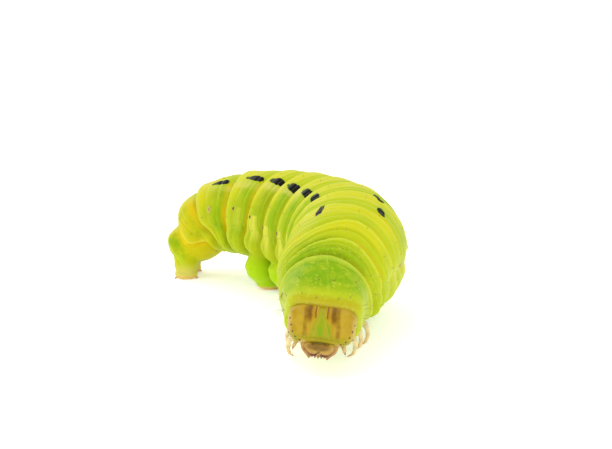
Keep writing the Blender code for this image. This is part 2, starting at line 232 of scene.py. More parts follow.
def sweep(path, radii, sides=20, steps=6, flat=1.0, hint=(0, 0, 1), ends=True):
    # Rings along a smooth path. The radius across the hint direction is flat times the other
    count = (len(path) - 1) * steps + 1
    where = np.linspace(0, len(path) - 1, count)
    centre, slope = smoothPath(path, where)
    size = smoothPath(np.array(radii)[:, None], where)[0][:, 0]
    ahead = unit(slope)
    if ends:  # rounded ends
        turn = np.radians([78, 52, 26])
        start = centre[0] - ahead[0] * (np.sin(turn) * size[0])[:, None]
        finish = centre[-1] + ahead[-1] * (np.sin(turn[::-1]) * size[-1])[:, None]
        centre = np.vstack([start, centre, finish])
        ahead = np.vstack([[ahead[0]] * 3, ahead, [ahead[-1]] * 3])
        size = np.concatenate([size[0] * np.cos(turn), size, size[-1] * np.cos(turn[::-1])])
    across = unit(np.cross(ahead, np.array(hint, dtype=float)))
    up = np.cross(across, ahead)
    turn = np.linspace(0, 2 * pi, sides, endpoint=False)
    return (centre[:, None] + across[:, None] * np.cos(turn)[None, :, None] * size[:, None, None]
            + up[:, None] * np.sin(turn)[None, :, None] * (size * flat)[:, None, None])


# Shader tools

class nodeBuilder:
    # Short calls for building one node tree

    def __init__(self, tree):
        self.tree = tree
        self.colour = self.looks = None

    def paint(self, name, *masks):
        # Lays one of the looks over the colour so far, where all the masks are
        self.colour = self.mix(self.product(*masks), self.colour, self.looks[name])

    def node(self, kind, **values):
        made = self.tree.nodes.new(kind)
        for key, value in values.items():
            setattr(made, key, value)
        return made

    def feed(self, socket, value):
        if isinstance(value, bpy.types.NodeSocket):
            self.tree.links.new(value, socket)
        elif socket.type == "RGBA":
            socket.default_value = (*value, 1)
        else:
            socket.default_value = value

    def math(self, operation, *values):
        made = self.node("ShaderNodeMath", operation=operation)
        for socket, value in zip(made.inputs, values):
            self.feed(socket, value)
        return made.outputs[0]

    def product(self, *values):
        result = values[0]
        for value in values[1:]:
            result = self.math("MULTIPLY", result, value)
        return result

    def mask(self, name):
        return self.node("ShaderNodeAttribute", attribute_name=name).outputs["Fac"]

    def stretch(self, value, low, high, toLow=0.0, toHigh=1.0):
        # Smooth change from toLow to toHigh as value goes from low to high
        made = self.node("ShaderNodeMapRange", interpolation_type="SMOOTHSTEP")
        for key, given in (("Value", value), ("From Min", low), ("From Max", high),
                           ("To Min", toLow), ("To Max", toHigh)):
            self.feed(made.inputs[key], given)
        return made.outputs["Result"]

    def hill(self, value, centre, reach, flat=0.0):
        # 1 within flat of the centre, 0 beyond the reach
        offset = self.math("ABSOLUTE", self.math("SUBTRACT", value, centre))
        return self.stretch(offset, flat, reach, 1.0, 0.0)

    def band(self, value, start, full, fade, end):
        return self.product(self.stretch(value, start, full), self.stretch(value, fade, end, 1.0, 0.0))

    def mix(self, amount, first, second):
        made = self.node("ShaderNodeMix", data_type="RGBA", clamp_factor=True)
        self.feed(made.inputs[0], amount)
        self.feed(made.inputs[6], first)
        self.feed(made.inputs[7], second)
        return made.outputs[2]

    def where(self):
        return self.node("ShaderNodeTexCoord").outputs["Object"]

    def vector(self, *values):
        made = self.node("ShaderNodeCombineXYZ")
        for socket, value in zip(made.inputs, values):
            self.feed(socket, value)
        return made.outputs[0]

    def noise(self, scale, detail=2.0, roughness=0.5, vector=None):
        made = self.node("ShaderNodeTexNoise")
        self.feed(made.inputs["Vector"], vector or self.where())
        made.inputs["Scale"].default_value = scale
        made.inputs["Detail"].default_value = detail
        made.inputs["Roughness"].default_value = roughness
        return made.outputs["Fac"]

    def shaken(self, value, scale, amount, detail=2.0):
        # The value with noise of this amount added
        shake = self.math("SUBTRACT", self.noise(scale, detail), 0.5)
        return self.math("ADD", value, self.math("MULTIPLY", shake, amount))

    def dots(self, scale, size):
        cells = self.node("ShaderNodeTexVoronoi")
        self.feed(cells.inputs["Vector"], self.where())
        cells.inputs["Scale"].default_value = scale
        return self.stretch(cells.outputs["Distance"], size * 0.6, size, 1.0, 0.0)


def newMaterial(name, roughness, specular=0.5, under=0.0, underRadius=(1, 0.9, 0.3), underScale=0.3):
    made = bpy.data.materials.new(name)
    made.use_nodes = True
    shader = made.node_tree.nodes["Principled BSDF"]
    shader.inputs["Roughness"].default_value = roughness
    shader.inputs["Specular IOR Level"].default_value = specular
    shader.inputs["Subsurface Weight"].default_value = under
    shader.inputs["Subsurface Radius"].default_value = underRadius
    shader.inputs["Subsurface Scale"].default_value = underScale * mm
    return made, nodeBuilder(made.node_tree), shader


def srgb(red, green, blue):
    # Linear colour from display values of 0 to 255
    share = [value / 255 for value in (red, green, blue)]
    linear = [c / 12.92 if c <= 0.04045 else ((c + 0.055) / 1.055) ** 2.4 for c in share]
    return tuple(c * scale for c, scale in zip(linear, shot["colourScale"]))


def makeGrainGroup():
    # Fine pebbled relief and mottling, for every soft or horny surface
    tree = bpy.data.node_groups.new("fineGrain", "ShaderNodeTree")
    for name, value in (("Pebble Scale", 9000.0), ("Pebble Height", 0.6), ("Ripple Scale", 3500.0)):
        socket = tree.interface.new_socket(name, in_out="INPUT", socket_type="NodeSocketFloat")
        socket.default_value = value
    for name in ("Height", "Mottle"):
        tree.interface.new_socket(name, in_out="OUTPUT", socket_type="NodeSocketFloat")
    t = nodeBuilder(tree)
    given = t.node("NodeGroupInput")
    taken = t.node("NodeGroupOutput")
    cells = t.node("ShaderNodeTexVoronoi", feature="SMOOTH_F1")
    ripple = t.node("ShaderNodeTexNoise")
    ripple.inputs["Detail"].default_value = 3.0
    for texture, scale in ((cells, "Pebble Scale"), (ripple, "Ripple Scale")):
        t.feed(texture.inputs["Vector"], t.where())
        t.feed(texture.inputs["Scale"], given.outputs[scale])
    pebbles = t.math("MULTIPLY", cells.outputs["Distance"], given.outputs["Pebble Height"])
    t.feed(taken.inputs["Height"], t.math("SUBTRACT", ripple.outputs["Fac"], pebbles))
    t.feed(taken.inputs["Mottle"], ripple.outputs["Fac"])
    return tree


grainGroup = makeGrainGroup()


def addGrain(t, shader, strength, distance, **scales):
    # Feeds the grain's normal to the shader and returns its mottle
    group = t.node("ShaderNodeGroup", node_tree=grainGroup)
    for key, value in scales.items():
        group.inputs[key.replace("_", " ")].default_value = value
    relief = t.node("ShaderNodeBump")
    relief.inputs["Strength"].default_value = strength
    relief.inputs["Distance"].default_value = distance * mm
    t.feed(relief.inputs["Height"], group.outputs["Height"])
    t.feed(shader.inputs["Normal"], relief.outputs["Normal"])
    return group.outputs["Mottle"]


# Body form, by the same rule and sizes as the solids

body = {
    "neckAt": (3.2, -11.9),  # mm
    # length in mm and heading of thorax 1 to 3, then of abdomen 1 to 10
    "lengths": (2.8, 1.8, 2.1, 2.5, 2.5, 2.7, 2.9, 2.7, 2.7, 2.8, 2.6, 1.5, 1.8),
    "headings": (-3, -11, -16, -14, -4, 11, 24, 35, 46, 58, 68, 79, 89),
    # mm at each joint, from the neck to the tail
    "heights": (2.65, 3.45, 3.90, 4.25, 4.45, 4.65, 4.75, 4.85, 4.95, 5.05, 5.00, 4.40, 3.05, 2.00),
    "halfWidths": (2.05, 2.65, 3.20, 3.55, 3.75, 3.85, 3.90, 3.90, 3.90, 3.80, 3.45, 2.90, 2.35, 1.75),
    "halfHeights": (1.50, 2.45, 3.15, 3.60, 3.85, 4.00, 4.00, 3.95, 3.90, 3.70, 3.40, 2.95, 2.35, 1.50),
    "belly": 0.86,
    "bellyPower": 0.92,
    "hoodLean": 0.52,
    "chinLean": 0.25,
    "chinTuck": 0.12,
    "hoodSquare": 3.2,  # added to the 2 of an ellipse at the front edge, above and below
    "chinSquare": 0.86,
    "neckRoll": 9,
    "tipStart": 0.50,
    "tipEnd": 1.17,
    # place, reach and share of the radius of the step before the tail's plate and of its rear end
    "tailForms": ((12.54, 0.30, -0.18), (13.00, 0.13, 0.10)),
}
segmentCount = len(body["lengths"])


def bodyAxis():
    plan = np.array(body["neckAt"])
    rows = [(*plan, body["heights"][0])]
    for length, heading, height in zip(body["lengths"], body["headings"], body["heights"][1:]):
        plan = plan + length * np.array([-sin(radians(heading)), cos(radians(heading))])
        rows.append((*plan, height))
    return np.array(rows) * mm


axisRows = bodyAxis()
radiusRows = np.column_stack([body["halfWidths"], body["halfHeights"]]) * mm
skyward = np.array([0.0, 0.0, 1.0])
levelOnly = np.array([1.0, 1.0, 0.0])


def bodyFrame(s):
    # Centre, back, left and up at places along the body, counted in segments
    centre, slope = smoothPath(axisRows, s)
    back = unit(slope)
    left = unit(np.cross(back, skyward))
    up = np.cross(left, back)
    roll = radians(body["neckRoll"]) * np.clip(1 - np.atleast_1d(s), 0, None)[:, None]
    turned = left * np.cos(roll) + np.cross(back, left) * np.sin(roll)
    return centre, back, turned, np.cross(turned, back)


def closing(s):
    t = np.clip(s - (segmentCount - 1) - body["tipStart"], 0, None)
    return np.sqrt(np.clip(1 - (t / (body["tipEnd"] - body["tipStart"])) ** 2, 0, 1))


def plainSkin(s, angle, grow=0.0):
    # Points of the body without folds; angle in degrees from the mid-back, left side positive
    s, angle = (part.ravel().astype(float) for part in np.broadcast_arrays(s, angle))
    centre, back, left, up = bodyFrame(s)
    radii = smoothPath(radiusRows, s)[0]
    front = np.clip(1 - s, 0, None)
    across, along = np.sin(np.radians(angle)), np.cos(np.radians(angle))
    power = 2 + np.where(along > 0, body["hoodSquare"] * front**1.5, body["chinSquare"] * front)
    size = (np.abs(across) ** power + np.abs(along) ** power) ** (-1 / power)
    across, along = across * size, along * size
    low = body["belly"] * (1 - body["chinTuck"] * front)
    along = np.where(along < 0, -low * np.abs(along) ** body["bellyPower"], along)
    shut = closing(s)
    above = np.clip((105 - np.abs(angle)) / 35, 0, 1)
    for at, reach, size in body["tailForms"]:
        shut = shut * (1 + size * bump(s - at, reach) * above)
    points = (centre + left * (across * (radii[:, 0] * shut + grow))[:, None]
              + up * (along * (radii[:, 1] * shut + grow))[:, None])
    lean = body["hoodLean"] * np.clip(along, 0, None) + body["chinLean"] * np.clip(-along, 0, None)
    return points - back * levelOnly * (lean * front**2 * radii[:, 1])[:, None]


# Skin relief

folds = {
    # places of the joints, counted in the solids' segments, on the back and on the lower side
    "backJoints": (1.07, 1.80, 2.69, 3.55, 4.70, 5.66, 6.67, 7.67, 8.65, 9.82, 11.0, 12.30),
    "lowJoints": (1, 2, 3, 4, 5, 6, 7, 8, 9, 9.9, 10.5, 11.5),
    "blendSides": (80, 115),  # degrees from the mid-back
    # the three thorax joints wander: their places on the back at these signed angles
    "thoraxAngles": (-90, -60, -36, -20, 0, 12, 24, 49, 70, 94),
    "thoraxJoints": (
        (1.00, 1.00, 1.08, 1.13, 1.14, 1.13, 1.11, 1.06, 0.98, 1.08),
        (1.40, 1.28, 1.34, 1.50, 1.69, 1.84, 1.89, 1.85, 1.84, 1.92),
        (2.10, 1.95, 1.97, 2.12, 2.46, 2.70, 2.83, 2.79, 2.78, 2.88),
    ),
    "jointDepth": (0.24, 0.27, 0.15),  # mm on the back, the flank and the belly
    "jointReach": (0.050, 0.200),  # share of a segment ahead of the joint and behind it
    "cutDepth": 0.06,
    "cutReach": 0.030,
    "lipHeight": 0.070,
    "lipAt": 0.920,
    "lipReach": 0.070,
    "innerSqueeze": 1.1,  # deeper folds on the inside of the bend
    "innerBulge": 0.17,  # mm, rings there swell more
    "tailShare": 0.45,  # of the joint's depth at the last joint
    # place and depth in mm of the folds within each segment
    "creases": (
        ((0.80, 0.05),),
        ((0.44, 0.07), (0.70, 0.03)),
        ((0.44, 0.07), (0.78, 0.03)),
        ((0.30, 0.05), (0.62, 0.05)),
        ((0.32, 0.06), (0.64, 0.05)),
        ((0.32, 0.06), (0.64, 0.05)),
        ((0.31, 0.07), (0.63, 0.05)),
        ((0.31, 0.07), (0.63, 0.06)),
        ((0.32, 0.07), (0.64, 0.06)),
        ((0.33, 0.06), (0.66, 0.05)),
        ((0.35, 0.06), (0.68, 0.05)),
        ((0.50, 0.05),),
        (),
    ),
    "creaseReach": 0.042,
    "lobeHeight": 0.24,
    "lobeAt": 122,
    "lobeReach": 20,
    "neckWaist": 0.14,  # mm, a hollow on the right behind the collar
    "flankHollow": 0.24,  # and one low on the left of the bend
    "breastFold": 0.42,  # mm, a fold of flesh above the first left legs
    "furrowDepth": 0.15,
    "furrowAt": 97,
    "furrowReach": 7,
    "flankFold": (0.66, 0.12),  # place and depth of the upright fold below the spiracles
    "tailPlate": (12.58, 62, 0.05),  # front edge, side edge and height
    "ruffles": ((420.0, 0.030), (1100.0, 0.026), (2800.0, 0.012)),  # scale and mm
    "shift": 0.022,  # how far a fold wanders along the body
}


def foldPlace(s, angle, points):
    # Place counted by the joints that show, which lean forward low on the tail
    degrees = np.arange(-180, 181)
    soft = bump(np.arange(-15, 16), 7)
    share = ease(*folds["blendSides"], np.abs(angle))
    joints = [np.zeros(len(s))]
    for number, (back, low) in enumerate(zip(folds["backJoints"], folds["lowJoints"])):
        if number < 3:
            line = np.interp(degrees, folds["thoraxAngles"], folds["thoraxJoints"][number])
            line = np.convolve(np.pad(line, 15, "edge"), soft / soft.sum(), "valid")
            back = np.interp(angle, degrees, line)
        joints.append(back + (low - back) * share)
    tip = segmentCount - 1 + body["tipEnd"]
    place = (tip - segmentCount + 1) * np.clip((s - joints[-1]) / (tip - joints[-1]), 0, 1)
    for start, finish in zip(joints, joints[1:]):
        place += np.clip((s - start) / (finish - start), 0, 1)
    place += np.minimum(s, 0)
    return place + folds["shift"] * ruffle(points, 600.0, 9.4) * ease(0.1, 0.6, s)


def skinRelief(s, place, angle, points):
    # Height in metres that is added to the plain skin
    segment = np.clip(np.floor(place), 0, segmentCount - 1).astype(int)
    t = place - segment
    side = np.abs(angle)
    nearest = np.clip(np.round(place), 1, segmentCount - 1)
    offset = place - nearest
    onBack = 1 - ease(30, 75, side)
    onBelly = ease(120, 150, side)
    back, flank, belly = folds["jointDepth"]
    depth = back * onBack + belly * onBelly + flank * (1 - onBack - onBelly)
    inside = np.clip(-np.sin(np.radians(angle)), 0, 1) * ease(3, 5, s) * (1 - ease(9.5, 11.5, s))
    depth = depth * (1 + folds["innerSqueeze"] * inside)
    depth = depth * (1 + 0.25 * ruffle(points, 500.0, 3.1))
    depth = depth * np.where(nearest == 12, folds["tailShare"], 1)
    ahead, behind = folds["jointReach"]
    height = -depth * bump(offset, np.where(offset < 0, ahead, behind))
    height -= folds["cutDepth"] * bump(offset, folds["cutReach"])
    height += folds["lipHeight"] * bump(t - folds["lipAt"], folds["lipReach"]) * (segment < 12)
    fade = 1 - 0.7 * ease(75, 130, side)
    for index, rows in enumerate(folds["creases"]):
        for at, deep in rows:
            height -= deep * bump(t - at, folds["creaseReach"]) * (segment == index) * fade
    middle = np.sin(pi * np.clip(t, 0, 1))
    height += folds["innerBulge"] * inside * middle**0.8
    fleshy = ease(0.6, 2.0, s) * (1 - ease(11.4, 12.4, s)) * (0.85 + 0.15 * ease(3.4, 4.8, s))
    height -= folds["flankHollow"] * bump(s - 3.2, 0.6) * bump(angle - 104, 18)
    height += folds["breastFold"] * bump(s - 1.25, 0.55) * bump(angle - 117, 19)
    height -= folds["neckWaist"] * bump(s - 0.6, 0.5) * bump(angle + 95, 30)
    height += folds["lobeHeight"] * bump(side - folds["lobeAt"], folds["lobeReach"]) * middle * fleshy
    height -= folds["furrowDepth"] * bump(side - folds["furrowAt"], folds["furrowReach"]) * fleshy
    at, deep = folds["flankFold"]
    height -= deep * bump(t - at, 0.07) * bump(side - 118, 26) * fleshy
    front, edge, plate = folds["tailPlate"]
    height += plate * ease(front - 0.06, front + 0.06, s) * (1 - ease(edge - 8, edge + 4, side))
    for number, (scale, size) in enumerate(folds["ruffles"]):
        height += size * ruffle(points, scale, 1.7 + number)
    return height * mm * np.clip(closing(s) * 1.4, 0, 1)


trunkGrid = {
    "rowsPerSegment": 36,
    "around": 168,
    "lipLength": 0.13,  # in segments, of the rounded edge of the collar
    "lipRound": 0.26,  # mm, how far it rounds in
    "liningDepth": 0.45,  # in segments
    "rolledIn": 0.75,  # mm, how far the inner side closes round the head
}


def trunkRows():
    # Places of the rings: the lining inside the collar, its lip, then the outside to the tail
    length, inward = trunkGrid["lipLength"], trunkGrid["lipRound"] * mm
    lining = [(trunkGrid["liningDepth"] * d**2.2, -inward - trunkGrid["rolledIn"] * mm * d)
              for d in (1, 0.85, 0.7, 0.55, 0.42, 0.30, 0.20, 0.10)]
    lip = [(length * (1 - sin(turn)), -inward * (1 - cos(turn)))
           for turn in np.radians((88, 70, 55, 40, 27, 13))]
    outside = np.arange(length, segmentCount - 1 + 0.9, 1 / trunkGrid["rowsPerSegment"])
    last = outside[-1]
    turn = np.linspace(0.08, pi / 2 - 0.02, 16)
    tip = last + (segmentCount - 1 + body["tipEnd"] - last) * np.sin(turn)
    rows = lining + lip + [(s, 0.0) for s in np.concatenate([outside, tip])]
    return np.array(rows), len(lining) + len(lip)


def makeTrunk():
    rows, hidden = trunkRows()
    around = np.linspace(-180, 180, trunkGrid["around"], endpoint=False)
    angle, s = np.meshgrid(around, rows[:, 0])
    grow = np.repeat(rows[:, 1], len(around))
    points = plainSkin(s, angle, grow)
    centre = bodyFrame(s.ravel())[0]
    s, angle = s.ravel(), angle.ravel()
    place = foldPlace(s, angle, points)
    shown = ease(hidden - 3, hidden + 4, np.repeat(np.arange(len(rows)), len(around)))
    height = skinRelief(s, place, angle, points) * shown
    points = points + unit(points - centre) * height[:, None]
    trunk = loftObject("larvaSkin", points.reshape(len(rows), -1, 3))
    inside = np.repeat(np.arange(len(rows)) < hidden - 5, len(around))
    return trunk, np.column_stack([s, angle, np.where(inside, 1, 0)])


# Prolegs and claspers, the fleshy feet of the abdomen

feet = {
    "segments": (5, 6, 7, 8),
    "along": (0.50, 0.50, 0.50, 0.62),
    "swell": (0.0, 0.0, 0.0, 0.25),  # mm further out
    # height, sideways place, half width across and half length, in mm
    "rings": (
        (3.20, 1.75, 1.05, 0.88),
        (2.60, 2.10, 1.20, 0.97),
        (2.25, 2.22, 1.26, 1.01),
        (1.90, 2.27, 1.27, 1.03),
        (1.55, 2.23, 1.23, 1.03),
        (1.20, 2.13, 1.15, 1.00),
        (0.95, 2.02, 1.06, 0.95),
        (0.70, 1.88, 0.94, 0.88),
        (0.48, 1.76, 0.88, 0.84),
        (0.30, 1.67, 0.88, 0.85),
        (0.15, 1.60, 0.84, 0.82),
        (0.05, 1.56, 0.75, 0.76),
        (0.00, 1.55, 0.62, 0.66),
    ),
    "claspAlong": 0.45,
    "claspRings": (
        (2.70, 0.80, 0.70, 0.90),
        (2.20, 0.98, 0.82, 0.98),
        (1.80, 1.07, 0.86, 1.00),
        (1.40, 1.13, 0.85, 0.98),
        (1.05, 1.17, 0.80, 0.93),
        (0.80, 1.20, 0.74, 0.88),
        (0.55, 1.22, 0.70, 0.86),
        (0.36, 1.24, 0.71, 0.88),
        (0.20, 1.26, 0.69, 0.84),
        (0.08, 1.26, 0.61, 0.74),
        (0.00, 1.26, 0.50, 0.58),
    ),
    "around": 52,
    "rows": 44,
    "wrinkle": 0.022,
}


def floorFrame(s):
    # The floor point under a section, with its level left and back
    centre, slope = smoothPath(axisRows, np.array([s]))
    back = unit(slope[0] * levelOnly)
    return centre[0] * levelOnly, np.cross(back, skyward), back


def footPlaces():
    for side, word in ((1, "left"), (-1, "right")):
        for index, along, swell in zip(feet["segments"], feet["along"], feet["swell"]):
            yield index + along, side, feet["rings"], swell, word
        yield segmentCount - 1 + feet["claspAlong"], side, feet["claspRings"], 0.0, word


def footMiddles(s, side, rings, swell, heights):
    # Centre, half width and half length of a foot at these heights in metres
    rows = np.array(rings)[::-1] * mm
    out, across, length = (np.interp(heights, rows[:, 0], rows[:, k]) for k in (1, 2, 3))
    out = out + swell * mm * np.clip(heights / mm, 0, 1)
    ground, left, back = floorFrame(s)
    middle = ground + left * (side * out)[:, None] + skyward * heights[:, None]
    return middle, across, length, left, back


def makeFoot(number, s, side, rings, swell, word):
    rows = np.array(rings)[:, :1] * mm
    heights = smoothPath(rows, np.linspace(0, len(rows) - 1, feet["rows"]))[0][:, 0]
    middle, across, length, left, back = footMiddles(s, side, rings, swell, np.clip(heights, 0, None))
    turn = np.linspace(0, 2 * pi, feet["around"], endpoint=False)
    ripple = 1 - feet["wrinkle"] * np.sin(heights / mm * 8.0 + number)
    grid = (middle[:, None] + left * (across * ripple)[:, None, None] * np.cos(turn)[None, :, None]
            + back * (length * ripple)[:, None, None] * np.sin(turn)[None, :, None])
    flat = grid.reshape(-1, 3)
    outward = unit(flat - np.repeat(middle, len(turn), 0) + skyward * 1e-9)
    shake = 0.045 * mm * ruffle(flat, 1100.0, number) * ease(0.0, 0.5 * mm, flat[:, 2])
    return loftObject(f"foot{number}", (flat + outward * shake[:, None]).reshape(grid.shape))


def keyOf(point):
    return tuple(round(c, 8) for c in point)


def bodyPlace(points):
    # Place along the body and signed angle from the mid-back of each point
    samples = np.arange(-0.2, segmentCount + 0.2, 0.02)
    centre, back, left, up = bodyFrame(samples)
    nearest = np.concatenate([
        ((chunk[:, None] - centre[None]) ** 2).sum(2).argmin(1)
        for chunk in np.array_split(points, len(points) // 3000 + 1)])
    offset = points - centre[nearest]
    s = samples[nearest] + (offset * back[nearest]).sum(1) / (2.6 * mm)
    angle = np.degrees(np.arctan2((offset * left[nearest]).sum(1), (offset * up[nearest]).sum(1)))
    return np.column_stack([s, angle])


def uniteSkin(trunk, trunkPlaces):
    # Joins the feet to the trunk in one closed surface, softened where they meet
    places = {keyOf(p): row for p, row in zip(pointsOf(trunk).tolist(), trunkPlaces.tolist())}
    collection = bpy.data.collections.new("feetToJoin")
    footPoints = set()
    for number, where in enumerate(footPlaces()):
        foot = makeFoot(number, *where)
        footPoints |= {keyOf(p) for p in pointsOf(foot).tolist()}
        collection.objects.link(foot)
    union = trunk.modifiers.new("feet", "BOOLEAN")
    union.operation = "UNION"
    union.solver = "MANIFOLD"
    union.operand_type = "COLLECTION"
    union.collection = collection
    graph = bpy.context.evaluated_depsgraph_get()
    mesh = bpy.data.meshes.new_from_object(trunk.evaluated_get(graph))
    trunk.modifiers.remove(union)
    trunk.data = mesh
    mesh.name = "larvaSkin"
    for foot in list(collection.objects):
        bpy.data.objects.remove(foot, do_unlink=True)
    bpy.data.collections.remove(collection)
    points = pointsOf(trunk)
    found = bodyPlace(points)
    kinds = np.zeros(len(points), dtype=int)  # 0 trunk, 1 collar lining, 2 foot, 3 seam
    for number, point in enumerate(points.tolist()):
        row = places.get(keyOf(point))
        if row:
            found[number] = row[:2]
            kinds[number] = int(row[2])
        else:
            kinds[number] = 2 if keyOf(point) in footPoints else 3
    softenSeams(trunk, kinds)
    return found, kinds


def softenSeams(trunk, kinds):
    bm = bmesh.new()
    bm.from_mesh(trunk.data)
    bm.verts.ensure_lookup_table()
    seam = {bm.verts[int(k)] for k in np.flatnonzero(kinds == 3)}
    print("seam points", len(seam))
    for _ in range(4):
        seam |= {edge.other_vert(v) for v in list(seam) for edge in v.link_edges}
    for _ in range(12):
        bmesh.ops.smooth_vert(bm, verts=list(seam), factor=0.5,
                              use_axis_x=True, use_axis_y=True, use_axis_z=True)
    bm.to_mesh(trunk.data)
    bm.free()
    trunk.data.shade_smooth()


def footMasks(points):
    # How far each point belongs to a foot, with the nearest foot's number and the angle round its middle
    soft = np.zeros(len(points))
    nearest = np.full(len(points), -1)
    turn = np.zeros(len(points))
    best = np.full(len(points), 1.0)
    for number, (s, side, rings, swell, word) in enumerate(footPlaces()):
        heights = np.clip(points[:, 2], 0, None)
        middle, across, length, left, back = footMiddles(s, side, rings, swell, heights)
        offset = points - middle
        x, y = (offset * left).sum(1), (offset * back).sum(1)
        spread = np.hypot(x / (across + 0.25 * mm), y / (length + 0.25 * mm))
        inside = (spread < 1.15) & (heights < 3.4 * mm)
        near = inside & (spread < best + 0.15)
        share = ease(1.15, 0.90, spread) * ease(3.3 * mm, 1.8 * mm, heights)
        soft = np.maximum(soft, np.where(inside, share, 0))
        nearest = np.where(near, number, nearest)
        turn = np.where(near, np.arctan2(y, x), turn)
        best = np.where(near, spread, best)
    return soft, nearest, turn


def unwrapSkin(obj, places, kinds, soft, nearest, turn):
    # The trunk unrolled over most of the map, the lining in a strip, each foot in a disc
    mesh = obj.data
    points = pointsOf(obj)
    corners = np.empty(len(mesh.loops), dtype=int)
    mesh.loops.foreach_get("vertex_index", corners)
    starts = np.empty(len(mesh.polygons), dtype=int)
    sizes = np.empty(len(mesh.polygons), dtype=int)
    mesh.polygons.foreach_get("loop_start", starts)
    mesh.polygons.foreach_get("loop_total", sizes)
    face = np.repeat(np.arange(len(starts)), sizes)
    isFoot = (kinds == 2)[corners]
    footFace = np.zeros(len(starts), dtype=bool)
    np.logical_or.at(footFace, face, isFoot)
    angle = places[corners, 1]
    low = np.full(len(starts), 999.0)
    high = np.full(len(starts), -999.0)
    np.minimum.at(low, face, angle)
    np.maximum.at(high, face, angle)
    angle = np.where(((high - low)[face] > 180) & (angle < 0), angle + 360, angle)
    u = 0.01 + 0.72 * (angle + 180) / 366
    v = 0.02 + 0.90 * np.clip(places[corners, 0] + 0.05, 0, 13.4) / 13.4
    lined = (kinds == 1)[corners]
    v = np.where(lined, 0.945 + 0.04 * places[corners, 0], v)
    number = np.zeros(len(starts), dtype=int)
    footCorners = np.flatnonzero(footFace[face] & (nearest[corners] >= 0))
    number[face[footCorners]] = nearest[corners[footCorners]]
    number = number[face]
    ring = 0.012 + 0.040 * np.clip(points[corners, 2] / (3.2 * mm), 0, 1)
    onFoot = footFace[face]
    u = np.where(onFoot, 0.80 + 0.12 * (number % 2) + ring * np.cos(turn[corners]), u)
    v = np.where(onFoot, 0.10 + 0.18 * (number // 2) + ring * np.sin(turn[corners]), v)
    layer = mesh.uv_layers.new(name="OFBake")
    layer.data.foreach_set("uv", np.column_stack([u, v]).ravel())


# Markings of the skin

marks = {
    # place along the body, degrees from the middle line, half length in segments, half width in degrees
    "both": (
        (6.02, 36.0, 0.33, 5.0),
        (7.00, 35.5, 0.36, 5.2),
        (8.12, 31.5, 0.35, 5.0),
        (9.16, 28.7, 0.35, 5.2),
        (10.26, 29.8, 0.28, 4.6),
    ),
    "left": ((3.93, 32.0, 0.16, 4.8), (4.76, 30.0, 0.26, 5.4)),
    "right": ((3.22, 25.7, 0.34, 3.4), (5.02, 34.5, 0.31, 5.2)),
    "slant": 0.8,  # degrees, the rear end lies nearer the middle line
    "taper": 0.25,
    # how far the middle line is turned to the animal's left, in degrees at these places
    "twistPlaces": (0, 1, 2, 3.6, 4.8),
    "twist": (2, 4, 6.5, 6.5, 0),
}
spiracles = {
    # place along the body, degrees from the mid-back, half height and half width in mm
    "both": (
        (4.55, 85, 0.15, 0.085),
        (5.60, 82, 0.15, 0.085),
        (6.56, 86, 0.17, 0.085),
        (7.62, 86, 0.17, 0.085),
        (8.43, 79, 0.16, 0.10),
        (9.43, 73, 0.16, 0.11),
        (10.47, 71, 0.25, 0.16),
    ),
    "left": ((0.97, 104, 0.23, 0.11), (3.53, 90, 0.15, 0.085)),
    "right": ((0.58, 75, 0.22, 0.10), (3.50, 84, 0.15, 0.085)),
    "rise": 0.045,
}


def turnedSide(s, angle):
    # Signed degrees from the middle line that the markings follow
    return angle - np.interp(s, marks["twistPlaces"], marks["twist"])


def markPlaces(s, angle):
    # Lengthwise place in the nearest dark mark, and how far out from its middle, 1 at its edge
    side = turnedSide(s, angle)
    along, reach = np.full(len(s), 4.0), np.full(len(s), 9.0)
    for sign, word in ((1, "left"), (-1, "right")):
        for at, middle, half, wide in (*marks[word], *marks["both"]):
            u = (s - at) / half
            width = wide * (1 - marks["taper"] * np.clip(u, -1, 1))
            v = (side * sign - middle + marks["slant"] * np.clip(u, -2, 2)) / width
            out = np.clip(np.abs(u) ** 2.6 + v**2, 0, 9)
            along, reach = np.where(out < reach, np.clip(u, -2, 2), along), np.minimum(out, reach)
    return along, reach


def patchPlaces(s, angle):
    # Segments ahead of and degrees below the nearest spiracle
    ahead, below = np.full(len(s), 3.0), np.full(len(s), 90.0)
    for sign, word in ((1, "left"), (-1, "right")):
        for at, middle, _, _ in (*spiracles[word], *spiracles["both"]):
            nearer = (np.abs(at - s) < np.abs(ahead)) & (angle * sign > 0)
            ahead = np.where(nearer, at - s, ahead)
            below = np.where(nearer, angle * sign - middle, below)
    return ahead, below


skinLooks = {
    "frontGreen": srgb(178, 206, 40),
    "rearYellow": srgb(216, 220, 8),
    "vividGreen": srgb(134, 184, 0),
    "footGreen": srgb(188, 234, 26),
    # olive is the flanks' own mottle, and it is also laid as painted shade in the grooves of the back
    "olive": srgb(146, 170, 0),
    "foldYellow": srgb(232, 204, 0),
    # painted shade for the bottom of the flank joints
    "foldShade": srgb(212, 176, 0),
    # painted highlight for the ring crests and fold lines
    "paleHighlight": srgb(210, 228, 96),
    "streak": srgb(206, 218, 24),
    "sidePatch": srgb(224, 230, 90),
    "cream": srgb(226, 222, 130),
    "belly": srgb(186, 212, 66),
    "collarRim": srgb(190, 180, 36),
    # painted highlight for the collar's front edge
    "collarHighlight": srgb(208, 192, 76),
    "midLine": srgb(206, 222, 110),
    "speck": srgb(214, 224, 90),
    "darkSpeck": srgb(128, 146, 20),
    "tail": srgb(214, 208, 16),
    "tailFold": srgb(238, 218, 0),
    "sole": srgb(232, 208, 136),
    "mark": srgb(16, 18, 10),
    "markTail": srgb(70, 104, 16),
}


